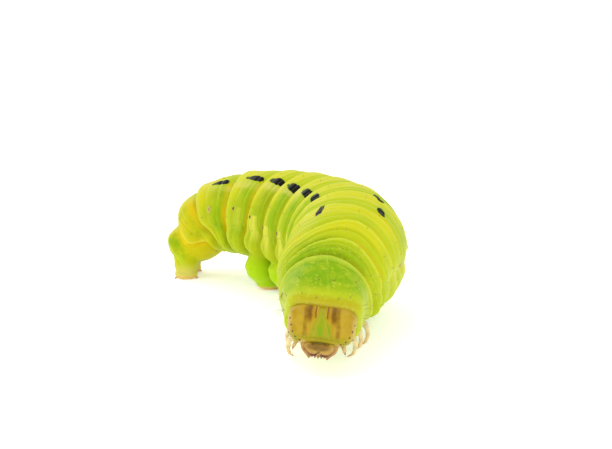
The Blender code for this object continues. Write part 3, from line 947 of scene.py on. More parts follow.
def makeSkinMaterial():
    looks = skinLooks
    material, t, shader = newMaterial("larvaSkin", 0.42, 0.07, 0.35, (0.9, 1.0, 0.05), 0.6)
    t.looks = looks
    s = t.shaken(t.mask("along"), 1800.0, 0.05)
    side = t.shaken(t.mask("around"), 1500.0, 4.0)
    turned = t.mask("turned")
    inner = t.math("FRACT", t.shaken(t.mask("fold"), 1800.0, 0.03))
    clouds = t.noise(500.0, 3.0)
    blotches = t.noise(1500.0, 3.0)
    streaks = t.noise(1.0, 4.0, 0.6, t.vector(t.product(s, 30.0), t.product(side, 0.045), 0.0))
    onBack = t.stretch(side, 50, 72, 1.0, 0.0)
    onFlank = t.band(side, 24, 40, 96, 116)

    # bright yellow rear half of each ring on the back, grading in behind the thorax
    rear = t.band(inner, 0.28, 0.58, 0.92, 0.97)
    rear = t.product(rear, onBack, t.stretch(s, 1.2, 2.6), t.stretch(streaks, 0.30, 0.60, 0.55, 1.0))
    t.colour = t.mix(t.product(clouds, 0.6), looks["frontGreen"], looks["rearYellow"])
    t.paint("streak", t.stretch(streaks, 0.45, 0.75, 0.0, 0.45))
    t.paint("rearYellow", rear)

    # green thorax, green and olive flanks
    thorax = t.product(t.band(s, 0.16, 0.42, 0.95, 2.2), t.stretch(side, 28, 80, 1.0, 0.30))
    thorax = t.product(thorax, t.stretch(blotches, 0.30, 0.58, 0.50, 1.0))
    t.paint("vividGreen", thorax)
    flank = t.product(onFlank, t.band(inner, 0.10, 0.22, 0.50, 0.85), t.stretch(s, 3.2, 5.0))
    t.paint("vividGreen", flank, t.stretch(clouds, 0.35, 0.65, 0.25, 0.75))
    t.paint("olive", flank, t.stretch(clouds, 0.5, 0.3, 0.0, 0.5))
    t.paint("belly", t.stretch(side, 122, 150))

    # yellow tail end and the yellow behind each joint of the flank, with painted shade at the bottom of the
    # flank joints and in the grooves of the back
    tail = t.product(t.stretch(s, 10.0, 11.4), t.stretch(clouds, 0.3, 0.6, 0.45, 1.0))
    t.paint("tail", tail)
    behind = t.math("MAXIMUM", t.stretch(inner, 0.07, 0.24, 1.0, 0.0), t.stretch(inner, 0.975, 0.995))
    pastCollar = t.stretch(t.mask("fold"), 0.97, 1.0)
    behind = t.product(behind, pastCollar, t.stretch(clouds, 0.35, 0.60, 0.45, 1.0))
    foldMask = t.product(behind, onFlank, t.stretch(s, 1.8, 4.6, 0.75, 1.0))
    t.paint("foldYellow", foldMask)
    # painted shade: a darker yellow at the bottom of each flank joint
    deep = t.product(t.hill(inner, 0.0, 0.05), onFlank, t.band(side, 34, 44, 76, 90))
    deep = t.product(deep, pastCollar, t.stretch(s, 2.8, 4.6, 0.4, 0.7))
    t.paint("foldShade", deep)
    # painted shade: olive darkening in the grooves behind the joints on the back, in the thorax valleys and
    # across the middle of the thorax rings
    valleyShade = t.product(t.hill(inner, 0.10, 0.18, 0.03), t.stretch(s, 1.7, 2.0, 0.85, 0.0))
    grooveShade = t.math("MAXIMUM", t.hill(inner, 0.025, 0.060, 0.01), valleyShade)
    ringMiddle = t.product(t.hill(inner, 0.50, 0.09, 0.01), t.stretch(s, 2.8, 3.2, 0.35, 0.0))
    grooveShade = t.math("MAXIMUM", grooveShade, ringMiddle)
    grooveShade = t.product(grooveShade, onBack, pastCollar, t.stretch(s, 3.0, 4.5, 0.8, 0.5))
    grooveShade = t.product(grooveShade, t.stretch(s, 10.8, 11.4, 1.0, 0.0))
    t.paint("olive", grooveShade)
    tailFold = t.product(t.hill(t.mask("fold"), 12.0, 0.22, 0.05), t.band(side, 38, 60, 110, 140),
                         t.stretch(s, 10.6, 11.0))
    t.paint("tailFold", tailFold, 0.9)
    tailGreen = t.product(t.band(s, 12.45, 12.65, 12.95, 13.1), t.band(side, 20, 45, 95, 125))
    t.paint("vividGreen", tailGreen, t.stretch(blotches, 0.35, 0.6, 0.2, 0.8))

    # cream stripe below the marks, pale patch below the spiracles with a sharp upper edge
    stripe = t.product(t.band(side, 35, 39, 43, 49), t.band(s, 5.6, 6.6, 9.6, 10.8))
    t.paint("cream", stripe, t.stretch(blotches, 0.4, 0.6, 0.2, 0.6))
    below = t.shaken(t.mask("below"), 2600.0, 2.5)
    ahead = t.shaken(t.mask("ahead"), 2200.0, 0.05)
    patch = t.product(t.band(below, -3.0, -1.5, 14, 34), t.band(ahead, -0.05, 0.0, 0.28, 0.46))
    patch = t.product(patch, t.band(s, 2.8, 4.0, 8.7, 9.6), t.stretch(streaks, 0.3, 0.6, 0.55, 0.95))
    t.paint("sidePatch", patch)

    # painted highlight: a thin pale line and a broader pale crest at the rear edge of each ring, and pale
    # lines along the folds within it
    ridge = t.product(t.hill(inner, 0.90, 0.12, 0.02), t.stretch(s, 2.6, 4.0, 0.65, 0.45))
    edge = t.math("MAXIMUM", t.hill(inner, 0.945, 0.030, 0.008), ridge)
    edge = t.product(edge, t.stretch(side, 100, 150, 0.80, 0.2))
    edge = t.product(edge, t.stretch(t.mask("fold"), 0.5, 0.9))
    t.paint("paleHighlight", edge)
    creaseAt = t.stretch(t.mask("fold"), 2.9, 3.1, 0.40, 0.30)
    secondCrease = t.product(t.hill(inner, 0.64, 0.030), 0.7)
    crease = t.math("MAXIMUM", t.hill(inner, creaseAt, 0.034, 0.008), secondCrease)
    crease = t.product(crease, onBack, t.stretch(s, 1.9, 2.6, 0.75, 0.38), t.stretch(s, 0.9, 1.1))
    t.paint("paleHighlight", crease)

    # collar rim in khaki with a painted highlight along its front edge, middle line, specks
    rim = t.product(t.stretch(s, 0.05, 0.19, 1.0, 0.0), t.stretch(side, 34, 60, 0.75, 0.0))
    rimAndHighlight = t.mix(t.stretch(s, 0.01, 0.06, 1.0, 0.0), looks["collarRim"], looks["collarHighlight"])
    t.colour = t.mix(rim, t.colour, rimAndHighlight)
    middle = t.product(t.stretch(turned, 0.4, 1.3, 1.0, 0.0), t.stretch(s, 0.85, 1.1, 0.42, 0.10))
    t.paint("midLine", middle, t.stretch(s, 0.1, 0.3))
    specks = t.product(t.stretch(t.noise(6200.0, 3.0, 0.6), 0.54, 0.64),
                       t.stretch(t.noise(2600.0, 2.0), 0.35, 0.6))
    t.paint("speck", specks, t.stretch(s, 1.0, 2.4, 0.60, 0.22))
    dark = t.product(t.dots(2600.0, 0.15), t.stretch(clouds, 0.52, 0.62))
    t.paint("darkSpeck", dark, 0.40)

    # green feet with pinkish cream soles
    sole = t.stretch(t.shaken(t.mask("sole"), 2400.0, 0.35), 0.35, 0.75)
    footMask = t.product(t.mask("foot"), t.stretch(s, 10.5, 11.5, 0.9, 0.25))
    t.paint("footGreen", footMask)
    clasper = t.product(t.mask("clasper"), t.stretch(blotches, 0.35, 0.65, 0.75, 1.0))
    t.paint("cream", clasper)
    t.paint("sole", sole)

    # near-black marks beside the back, ragged and fading at the rear
    reach = t.shaken(t.mask("markReach"), 5600.0, 1.0, 3.0)
    ink = t.mix(t.stretch(t.mask("markAlong"), 0.1, 0.95), looks["mark"], looks["markTail"])
    t.colour = t.mix(t.stretch(reach, 0.80, 1.15, 1.0, 0.0), t.colour, ink)

    t.feed(shader.inputs["Base Color"], t.colour)
    addGrain(t, shader, 0.30, 0.03, Pebble_Scale=8000.0, Pebble_Height=0.5, Ripple_Scale=3000.0)
    return material


def makeSkin():
    skin, trunkPlaces = makeTrunk()
    places, kinds = uniteSkin(skin, trunkPlaces)
    points = pointsOf(skin)
    s, angle = places.T
    soft, nearest, turn = footMasks(points)
    along, reach = markPlaces(s, angle)
    ahead, below = patchPlaces(s, angle)
    for name, values in (
            ("along", s), ("around", np.abs(angle)), ("turned", np.abs(turnedSide(s, angle))),
            ("fold", foldPlace(s, angle, points)), ("markAlong", along), ("markReach", reach),
            ("ahead", ahead), ("below", below), ("foot", np.where(kinds >= 2, soft, soft * 0.7)),
            ("sole", soft * ease(0.50 * mm, 0.12 * mm, points[:, 2])),
            ("clasper", soft * (s > 11.5) * ease(1.5 * mm, 0.4 * mm, points[:, 2]))):
        giveMask(skin, name, values)
    unwrapSkin(skin, places, kinds, soft, nearest, turn)
    skin.data.materials.clear()
    skin.data.materials.append(makeSkinMaterial())
    settle(skin, "skin", *[name for name in frame["nodes"]
                           if name.startswith(("thorax", "abdomen", "proleg", "anal"))])
    print("skin made,", len(points), "points,", len(skin.data.polygons), "faces")
    return skin


larvaSkin = makeSkin()
skinTree = BVHTree.FromPolygons(
    [v.co for v in larvaSkin.data.vertices], [p.vertices for p in larvaSkin.data.polygons])


def onSkin(s, angle):
    # Point of the finished skin and its outward direction
    low, high = plainSkin([s, s], [angle, angle], np.array([0.0, 1.0 * mm]))
    outward = unit(high - low)
    hit, normal, _, _ = skinTree.ray_cast(Vector(high + outward * mm), Vector(-outward), 4 * mm)
    if hit is None:
        return low, outward
    return np.array(hit), outward


# Small forms gathered in one mesh

class formHeap:

    def __init__(self):
        self.rings, self.values, self.spots = [], [], []

    def add(self, rings, values, spot=(0.5, 0.5)):
        # Values run along the rings; the spot is the form's place on the map
        rings = np.asarray(rings)
        self.rings.append(rings)
        self.values.append(np.repeat(np.broadcast_to(values, len(rings)), rings.shape[1]))
        self.spots.append(spot)

    def build(self, name, material, maskName="reach", place=None, patch=0.0):
        faces, spots, start = [], [], 0
        for rings, spot in zip(self.rings, self.spots):
            rows, columns = rings.shape[:2]
            faces += gridFaces(rows, columns, start)
            faces.append(tuple(range(start, start + columns)))
            start += rows * columns
            faces.append(tuple(range(start - columns, start)))
            turn = np.tile(np.linspace(0, 2 * pi, columns, endpoint=False), rows)
            out = patch * 0.5 * np.repeat(np.linspace(1, 0.15, rows), columns)
            spots.append(np.column_stack([spot[0] + out * np.cos(turn), spot[1] + out * np.sin(turn)]))
        points = np.vstack([rings.reshape(-1, 3) for rings in self.rings])
        obj = meshObject(name, place(points) if place else points, faces, material)
        giveMask(obj, maskName, np.concatenate(self.values))
        if patch:
            corners = np.empty(len(obj.data.loops), dtype=int)
            obj.data.loops.foreach_get("vertex_index", corners)
            layer = obj.data.uv_layers.new(name="OFBake")
            layer.data.foreach_set("uv", np.vstack(spots)[corners].ravel())
        bm = bmesh.new()
        bm.from_mesh(obj.data)
        bmesh.ops.recalc_face_normals(bm, faces=bm.faces)
        bm.to_mesh(obj.data)
        bm.free()
        return obj


def article(start, finish, first, last, sides=20, waist=0.94, hint=(0, 0, 1), flat=1.0):
    # One limb joint with rounded ends, a little thinner between them
    start, finish = np.array(start, dtype=float), np.array(finish, dtype=float)
    path = [start + (finish - start) * t for t in (0, 0.25, 0.5, 0.75, 1)]
    size = [first + (last - first) * t for t in (0, 0.25, 0.5, 0.75, 1)]
    size = [size[0], size[1] * waist, size[2] * waist, size[3], size[4] * 1.04]
    return sweep(path, size, sides=sides, steps=4, hint=hint, flat=flat)


def squareTo(direction):
    # Any direction square to this one
    other = (1, 0, 0) if abs(direction[2]) > 0.7 else (0, 0, 1)
    return unit(np.cross(direction, other))


def dome(centre, outward, radius, height, sides=16, rows=6, sink=0.3):
    # A low rounded button that is sunk a little in what carries it
    outward = unit(np.array(outward, dtype=float))
    first = squareTo(outward)
    second = np.cross(outward, first)
    turn = np.linspace(0, 2 * pi, sides, endpoint=False)
    rings = []
    for t in np.linspace(0, 1, rows + 1):
        slope = radians(88 * t)
        level = centre + outward * (height * sin(slope) - sink * height)
        out = radius * cos(slope)
        rings.append(level + out * (np.cos(turn)[:, None] * first + np.sin(turn)[:, None] * second))
    low = centre - outward * (sink * height + radius * 0.5)
    base = low + radius * (np.cos(turn)[:, None] * first + np.sin(turn)[:, None] * second)
    return np.array([base, *rings])


# Head capsule

head = {
    # sizes in mm, in the head's own frame: +X left, -Y forward, +Z crown
    "at": (3.14, -12.90, 2.86),
    "lookUp": 12,  # degrees
    "lean": 7,
    "halfWidth": 1.81,
    "top": 1.00,
    "chin": 1.14,
    "face": 1.12,
    "back": 1.35,
    "roundness": 2.3,  # from face to nape, 2 is an ellipse
    "square": (4.2, 3.2),  # seen from the front, above and below
    "middleAt": (0.06, 0.08),  # how far the middle of the face lies to the right, and more with height
    "cleft": (0.035, 0.12),  # depth and reach of the groove on the crown
    # half width of the frons at these heights
    "fronsHeights": (-0.75, -0.50, -0.10, 0.10, 0.35, 0.60, 1.0),
    "fronsWidths": (0.60, 0.56, 0.48, 0.41, 0.28, 0.16, 0.11),
    "fronsDepth": 0.05,
    "suture": (0.035, 0.032),
    "clypeusTop": -0.74,
    "ruffle": 0.012,
    "columns": 200,
    "rows": 130,
}
headLooks = {
    "lobe": srgb(184, 154, 16),
    "lobeLight": srgb(198, 172, 46),
    # painted highlight for the cheeks' outer edges
    "cheekHighlight": srgb(214, 190, 112),
    "bar": srgb(148, 110, 8),
    "barDeep": srgb(116, 80, 2),
    "line": srgb(98, 58, 6),
    "lineLow": srgb(134, 92, 14),
    "amber": srgb(186, 146, 14),
    "frons": srgb(170, 174, 26),
    "fronsBright": srgb(138, 178, 0),
    "fronsEdge": srgb(188, 190, 60),
    "lower": srgb(172, 166, 18),
    "clypeus": srgb(186, 172, 50),
    # painted highlight for the lower cheek rims
    "lowCheekHighlight": srgb(224, 194, 140),
    "speck": srgb(96, 72, 20),
}
headTurn = np.array(Matrix.Rotation(radians(-head["lookUp"]), 3, "X")
                    @ Matrix.Rotation(radians(head["lean"]), 3, "Y"))


def headPlace(points):
    # From the head's own frame in mm to the scene in metres
    return (np.asarray(points) @ headTurn.T + np.array(head["at"])) * mm


def headCapsulePoints(directions):
    # Points of the capsule in mm, with the face's coordinates and the distance from the frons
    d = unit(np.asarray(directions, dtype=float))
    deep = np.where(d[:, 1] < 0, head["face"], head["back"])
    tall = np.where(d[:, 2] > 0, head["top"], head["chin"])
    square = np.where(d[:, 2] > 0, *head["square"])
    front = (np.abs(d[:, 0] / head["halfWidth"]) ** square
             + np.abs(d[:, 2] / tall) ** square) ** (head["roundness"] / square)
    power = head["roundness"]
    points = d * ((front + np.abs(d[:, 1] / deep) ** power) ** (-1 / power))[:, None]
    facing = np.clip(-d[:, 1], 0, 1)
    z = points[:, 2]
    x = points[:, 0] + (head["middleAt"][0] + head["middleAt"][1] * z) * facing
    beyond = np.abs(x) - np.interp(z, head["fronsHeights"], head["fronsWidths"])
    onFace = ease(0.15, 0.45, facing)
    above = ease(head["clypeusTop"] - 0.05, head["clypeusTop"] + 0.05, z)
    depth, reach = head["cleft"]
    height = -depth * bump(x, reach) * ease(0.55, 1.0, z)
    depth, reach = head["suture"]
    height -= depth * bump(beyond, reach) * onFace * above
    height -= 0.5 * depth * bump(beyond + 0.13, reach) * onFace * above * ease(0.5, 0.2, z)
    height -= head["fronsDepth"] * ease(0.06, -0.10, beyond) * onFace * above
    height -= 0.05 * bump(z - head["clypeusTop"], 0.035) * ease(0.95, 0.80, np.abs(x)) * onFace
    height += 0.035 * bump(np.abs(x) - 1.0, 0.5) * facing
    height -= 0.05 * bump(np.abs(x) - 1.32, 0.10) * ease(-0.75, -0.95, z) * onFace
    height += head["ruffle"] * ruffle(points, 2.2, 4.0) + 0.5 * head["ruffle"] * ruffle(points, 7.0, 8.0)
    return points + d * height[:, None], x, beyond, facing


def makeHeadMaterial():
    looks = headLooks
    material, t, shader = newMaterial("headCapsule", 0.32, 0.16, 0.25, (1.0, 0.7, 0.2), 0.4)
    t.looks = looks
    x = t.shaken(t.mask("faceX"), 2200.0, 0.10, 3.0)
    z = t.shaken(t.mask("faceZ"), 1800.0, 0.30, 3.0)
    beyond = t.shaken(t.mask("beyondFrons"), 2400.0, 0.05)
    aside = t.math("ABSOLUTE", x)
    clouds = t.noise(900.0, 3.0)
    fine = t.noise(5200.0, 2.0)
    onFace = t.stretch(t.mask("facing"), 0.20, 0.45)
    t.colour = t.mix(t.stretch(clouds, 0.35, 0.65), looks["lobe"], looks["lobeLight"])
    t.paint("lower", t.stretch(z, -0.35, -0.80))
    # painted highlight along the outer edges of the cheeks
    cheek = t.product(t.stretch(aside, 1.45, 1.72), t.band(z, -0.80, -0.45, 0.25, 0.65))
    t.paint("cheekHighlight", cheek, 0.6)

    # amber strip beside the frons, with the brown bar and its thin lower line
    amber = t.product(t.hill(aside, 0.44, 0.20, 0.12), t.stretch(z, 0.10, 0.5), onFace)
    t.paint("amber", amber, 0.8)
    barMask = t.product(t.hill(aside, 0.72, 0.28, 0.12), t.stretch(z, -0.15, 0.40), onFace)
    t.paint("bar", barMask, t.stretch(fine, 0.3, 0.6, 0.7, 0.95))
    deep = t.product(t.hill(aside, 0.62, 0.17, 0.05), t.stretch(z, 0.05, 0.50), onFace)
    t.paint("barDeep", deep, 0.65)
    low = t.product(t.hill(aside, 0.86, 0.17, 0.03), t.band(z, -0.80, -0.45, -0.05, 0.25), onFace)
    t.paint("lineLow", low, t.stretch(fine, 0.3, 0.6, 0.3, 0.65))

    # green frons with a bright middle and pale edge
    inFrons = t.product(t.stretch(beyond, 0.10, -0.12), t.stretch(z, -0.85, -0.60), onFace)
    t.paint("frons", inFrons, 0.85)
    bright = t.product(t.hill(x, -0.06, 0.24, 0.03), t.band(z, -0.72, -0.45, -0.15, 0.15), onFace)
    ridge = t.product(t.hill(x, 0.03, 0.13, 0.02), t.band(z, -0.20, 0.05, 0.55, 0.85), onFace)
    strip = t.product(t.hill(beyond, -0.07, 0.09, 0.02), t.band(z, -0.60, -0.40, 0.0, 0.3), onFace)
    strip = t.product(strip, t.stretch(x, -0.2, 0.3, 0.3, 0.8))
    vivid = t.math("MAXIMUM", t.math("MAXIMUM", bright, t.product(ridge, 0.8)), strip)
    t.paint("fronsBright", vivid)
    t.paint("fronsEdge", t.hill(beyond, -0.16, 0.06, 0.01), inFrons, 0.40)
    line = t.product(t.hill(aside, 0.31, 0.050, 0.015), t.band(z, 0.30, 0.42, 1.1, 1.2), onFace)
    t.paint("line", line, 0.70)

    # clypeus, a painted pale highlight on the lower cheek rims, and specks
    band = t.product(t.band(z, -1.02, -0.94, -0.80, -0.73), t.stretch(aside, 0.78, 0.90, 1.0, 0.0), onFace)
    t.paint("clypeus", band, 0.8)
    rim = t.product(t.stretch(z, -0.84, -1.0), t.stretch(aside, 0.60, 0.85))
    t.paint("lowCheekHighlight", rim, 0.9)
    specks = t.product(t.dots(3400.0, 0.13), t.stretch(clouds, 0.45, 0.6))
    t.paint("speck", specks, 0.5)
    t.feed(shader.inputs["Base Color"], t.colour)
    addGrain(t, shader, 0.22, 0.02, Pebble_Scale=12000.0, Pebble_Height=0.5, Ripple_Scale=5000.0)
    return material


def makeHead():
    azimuth = np.linspace(-pi, pi, head["columns"], endpoint=False)
    height = np.radians(np.linspace(-89.5, 89.5, head["rows"]))
    turn, rise = np.meshgrid(azimuth, height)
    directions = np.column_stack([
        (np.cos(rise) * np.sin(turn)).ravel(), (-np.cos(rise) * np.cos(turn)).ravel(), np.sin(rise).ravel()])
    points, x, beyond, facing = headCapsulePoints(directions)
    rings = headPlace(points).reshape(head["rows"], head["columns"], 3)
    capsule = loftObject("headCapsule", rings, makeHeadMaterial())
    for name, values in (("faceX", x), ("faceZ", points[:, 2]), ("beyondFrons", beyond),
                         ("facing", facing)):
        giveMask(capsule, name, values)
    settle(capsule, "head", "head")
    print("head made")


makeHead()


# Simple eyes, six on each cheek

eyes = {
    # direction from the middle of the head: sideways, forward, up
    "directions": (
        (0.98, 0.26, 0.10),
        (0.97, 0.36, -0.10),
        (0.95, 0.42, -0.30),
        (0.88, 0.44, -0.48),
        (0.76, 0.46, -0.62),
        (0.97, 0.16, -0.34),
    ),
    "radius": 0.060,  # mm
    "height": 0.048,
    "lens": srgb(30, 22, 14),
    "ring": srgb(120, 84, 40),
}


def makeEyes():
    material, t, shader = newMaterial("eyeLens", 0.12, 0.60)
    top = t.shaken(t.mask("reach"), 9000.0, 0.12)
    t.feed(shader.inputs["Base Color"], t.mix(t.stretch(top, 0.25, 0.50), eyes["ring"], eyes["lens"]))
    addGrain(t, shader, 0.10, 0.01, Pebble_Scale=20000.0, Pebble_Height=0.3, Ripple_Scale=9000.0)
    heap = formHeap()
    for sign in (1, -1):
        for sideways, forward, up in eyes["directions"]:
            direction = unit(np.array([[sign * sideways, -forward, up]]))
            at = headCapsulePoints(direction)[0][0]
            rings = dome(at, direction[0], eyes["radius"], eyes["height"], sides=20, rows=7)
            heap.add(rings, np.linspace(0, 1, len(rings)))
    settle(heap.build("simpleEyes", material, place=headPlace), "head")
    print("eyes made")


makeEyes()


# Mouthparts and feelers, in the head's frame in mm

mouth = {
    "labrum": ((-0.62, -0.70, -1.10), (-0.34, -0.88, -1.24), (0, -0.90, -1.19), (0.34, -0.88, -1.24),
               (0.62, -0.70, -1.10)),
    "labrumRadii": (0.20, 0.26, 0.25, 0.26, 0.20),
    "labrumFlat": 0.62,
    "notch": (0.11, 0.10),  # depth and reach
    "mandible": ((0.78, -0.36, -1.00), (0.70, -0.50, -1.24), (0.48, -0.62, -1.44), (0.20, -0.68, -1.54)),
    "mandibleRadii": (0.24, 0.24, 0.20, 0.10),
    "teeth": 4,
    "maxilla": ((0.72, 0.44, -0.95), (0.66, 0.20, -1.28), (0.60, 0.02, -1.46)),
    "maxillaRadii": (0.28, 0.27, 0.20),
    "labium": ((0, 0.40, -1.00), (0, 0.18, -1.34), (0, 0.00, -1.52)),
    "labiumRadii": (0.31, 0.30, 0.22),
    "antenna": ((1.18, -0.22, -0.80), (1.25, -0.38, -0.98), (1.33, -0.54, -1.22), (1.37, -0.61, -1.33)),
    "antennaRadii": (0.19, 0.12, 0.085, 0.045),
    # three joints of each feeler under the jaw, from root to tip with radii
    "palp": ((0.56, -0.04, -1.50, 0.15), (0.53, -0.12, -1.62, 0.11), (0.50, -0.18, -1.71, 0.07),
             (0.48, -0.21, -1.77, 0.035)),
    "lowerPalp": ((0.15, -0.08, -1.58, 0.07), (0.16, -0.15, -1.68, 0.05), (0.165, -0.18, -1.74, 0.03)),
    "spinneret": ((0, -0.06, -1.56), (0, -0.14, -1.68), (0, -0.20, -1.76)),
    "spinneretRadii": (0.10, 0.06, 0.03),
}
mouthLooks = {
    "labrum": (srgb(136, 106, 14), srgb(192, 160, 70), srgb(178, 128, 78)),
    "jaw": (srgb(206, 176, 104), srgb(184, 136, 84), srgb(104, 62, 40)),
    "palp": (srgb(232, 200, 140), srgb(222, 172, 112), srgb(150, 96, 56)),
    "antenna": (srgb(224, 206, 120), srgb(236, 204, 150), srgb(170, 116, 70)),
}


def makeHornMaterial(name, colours, roughness=0.30, turns=(0.35, 0.60, 0.80, 1.0)):
    # Root, middle and tip colours along a small horny piece
    root, middle, tip = colours
    material, t, shader = newMaterial(name, roughness, 0.35, 0.30, (1.0, 0.6, 0.3), 0.25)
    reach = t.shaken(t.mask("reach"), 3000.0, 0.16)
    colour = t.mix(t.stretch(reach, turns[0], turns[1]), root, middle)
    colour = t.mix(t.stretch(reach, turns[2], turns[3]), colour, tip)
    colour = t.mix(t.product(t.stretch(t.noise(4000.0, 3.0), 0.5, 0.7), 0.35), colour, tip)
    t.feed(shader.inputs["Base Color"], colour)
    addGrain(t, shader, 0.20, 0.015, Pebble_Scale=14000.0, Pebble_Height=0.4, Ripple_Scale=6000.0)
    return material


def mirrored(rows, sign):
    return [(row[0] * sign, *row[1:]) for row in rows]


def jointed(heap, rows, sign, start=0.0, end=1.0, sides=18):
    # A row of articles through these points, each with its radius
    rows = mirrored(rows, sign)
    count = len(rows) - 1
    for k in range(count):
        rings = article(rows[k][:3], rows[k + 1][:3], rows[k][3], rows[k + 1][3] * 1.15, sides=sides)
        low, high = start + (end - start) * k / count, start + (end - start) * (k + 1) / count
        heap.add(rings, np.linspace(low, high, len(rings)))


def makeLabrum():
    rings = sweep(mouth["labrum"], mouth["labrumRadii"], sides=32, steps=14,
                  flat=mouth["labrumFlat"], hint=(0, -1, 0))
    depth, reach = mouth["notch"]
    low = ease(-1.22, -1.36, rings[..., 2])
    rings[..., 2] += depth * bump(rings[..., 0] + 0.05, reach) * low
    heap = formHeap()
    heap.add(rings, 0.0)
    labrum = heap.build("labrumPlate", makeHornMaterial("labrum", mouthLooks["labrum"]), place=headPlace)
    flat = rings.reshape(-1, 3)
    out = np.hypot((flat[:, 0] + 0.04) / 0.44, (flat[:, 2] + 1.12) / 0.15)
    labrum.data.attributes["reach"].data.foreach_set("value", np.clip(out * 0.36, 0, 1))
    settle(labrum, "mouthparts", "labrum")


def makeJaws():
    jaw = makeHornMaterial("jaw", mouthLooks["jaw"], 0.25, (0.15, 0.45, 0.55, 0.85))
    soft = makeHornMaterial("palp", mouthLooks["palp"])
    for sign, word in ((1, "left"), (-1, "right")):
        heap = formHeap()
        path = mirrored(mouth["mandible"], sign)
        rings = sweep(path, mouth["mandibleRadii"], sides=26, steps=10, flat=0.8, hint=(0, -1, 0))
        heap.add(rings, np.linspace(0, 1, len(rings)))
        tip, before = np.array(path[-1]), np.array(path[-2])
        ahead = unit(tip - before)
        for k in range(mouth["teeth"]):
            root = tip + np.array([0, -0.10 + 0.06 * k, 0.03])
            tooth = sweep([root - ahead * 0.08, root + ahead * 0.02, root + ahead * 0.10],
                          (0.055, 0.042, 0.012), sides=10, steps=3)
            heap.add(tooth, 1.0)
        piece = heap.build(f"mandible{word.title()}", jaw, place=headPlace)
        settle(piece, "mouthparts", f"mandible_{word}")

        heap = formHeap()
        rings = sweep(mirrored(mouth["maxilla"], sign), mouth["maxillaRadii"], sides=24, steps=8)
        heap.add(rings, np.linspace(0, 0.5, len(rings)))
        jointed(heap, mouth["palp"], sign, 0.4, 1.0)
        lobe = np.array((0.34 * sign, -0.16, -1.50))
        heap.add(article(lobe, lobe + (0, -0.06, -0.13), 0.15, 0.11), np.linspace(0.3, 0.8, 23))
        piece = heap.build(f"maxilla{word.title()}", soft, place=headPlace)
        settle(piece, "mouthparts", f"maxilla_{word}")

    heap = formHeap()
    rings = sweep(mouth["labium"], mouth["labiumRadii"], sides=24, steps=8, hint=(1, 0, 0))
    heap.add(rings, np.linspace(0, 0.5, len(rings)))
    rings = sweep(mouth["spinneret"], mouth["spinneretRadii"], sides=16, steps=6, hint=(1, 0, 0))
    heap.add(rings, np.linspace(0.4, 1, len(rings)))
    for sign in (1, -1):
        jointed(heap, mouth["lowerPalp"], sign, 0.4, 1.0, sides=14)
    settle(heap.build("labiumLobe", soft, place=headPlace), "mouthparts", "labium")


def makeAntennae():
    material = makeHornMaterial("antenna", mouthLooks["antenna"])
    for sign, word in ((1, "left"), (-1, "right")):
        heap = formHeap()
        rows = [(*point, size) for point, size in zip(mouth["antenna"], mouth["antennaRadii"])]
        jointed(heap, rows, sign)
        tip = np.array(mirrored(mouth["antenna"], sign)[-1])
        heap.add(sweep([tip, tip + (0.01 * sign, -0.05, -0.10), tip + (0.03 * sign, -0.12, -0.18)],
                       (0.022, 0.014, 0.005), sides=8, steps=3), 0.9)
        piece = heap.build(f"antenna{word.title()}", material, place=headPlace)
        settle(piece, "mouthparts", f"antenna_{word}")


makeLabrum()
makeJaws()
makeAntennae()
print("mouthparts made")


# True legs

legs = {
    # segment, place along it, how far the claw stands ahead of (+) its root in mm
    "pairs": ((0, 0.62, 0.55), (1, 0.55, 0.10), (2, 0.45, -0.45)),
    "spread": (0.90, 0.98, 1.04),
    "further": ((0.0, 0.35), (0.10, 0.70), (0.20, 0.35)),  # mm, the claws of each pair, left and right
    # sideways place and height of the joints in mm, from root to claw, and radii there
    "path": ((1.05, 2.31), (1.50, 1.61), (1.92, 1.11), (2.00, 0.66), (1.84, 0.24), (1.52, 0.035)),
    "radii": (0.42, 0.28, 0.18, 0.14, 0.10, 0.03),
    "colours": (srgb(230, 226, 110), srgb(255, 240, 214), srgb(255, 224, 182), srgb(200, 132, 84)),
}


def makeLegMaterial():
    root, thigh, shin, claw = legs["colours"]
    material, t, shader = newMaterial("amberLeg", 0.28, 0.30, 0.20, (1.0, 0.75, 0.5), 0.15)
    reach = t.mask("reach")
    soft = t.shaken(reach, 2600.0, 0.10)
    colour = t.mix(t.stretch(soft, 0.16, 0.36), root, thigh)
    colour = t.mix(t.stretch(soft, 0.45, 0.80), colour, shin)
    colour = t.mix(t.stretch(soft, 0.86, 0.94), colour, claw)
    ring = t.math("MAXIMUM", t.hill(reach, 0.385, 0.022, 0.004), t.hill(reach, 0.585, 0.020, 0.004))
    ring = t.math("MAXIMUM", ring, t.hill(reach, 0.775, 0.018, 0.004))
    colour = t.mix(t.product(ring, 0.30), colour, claw)
    colour = t.mix(t.product(t.stretch(t.noise(3600.0, 3.0), 0.5, 0.7), 0.30), colour, shin)
    t.feed(shader.inputs["Base Color"], colour)
    addGrain(t, shader, 0.20, 0.015, Pebble_Scale=12000.0, Pebble_Height=0.5, Ripple_Scale=5000.0)
    return material


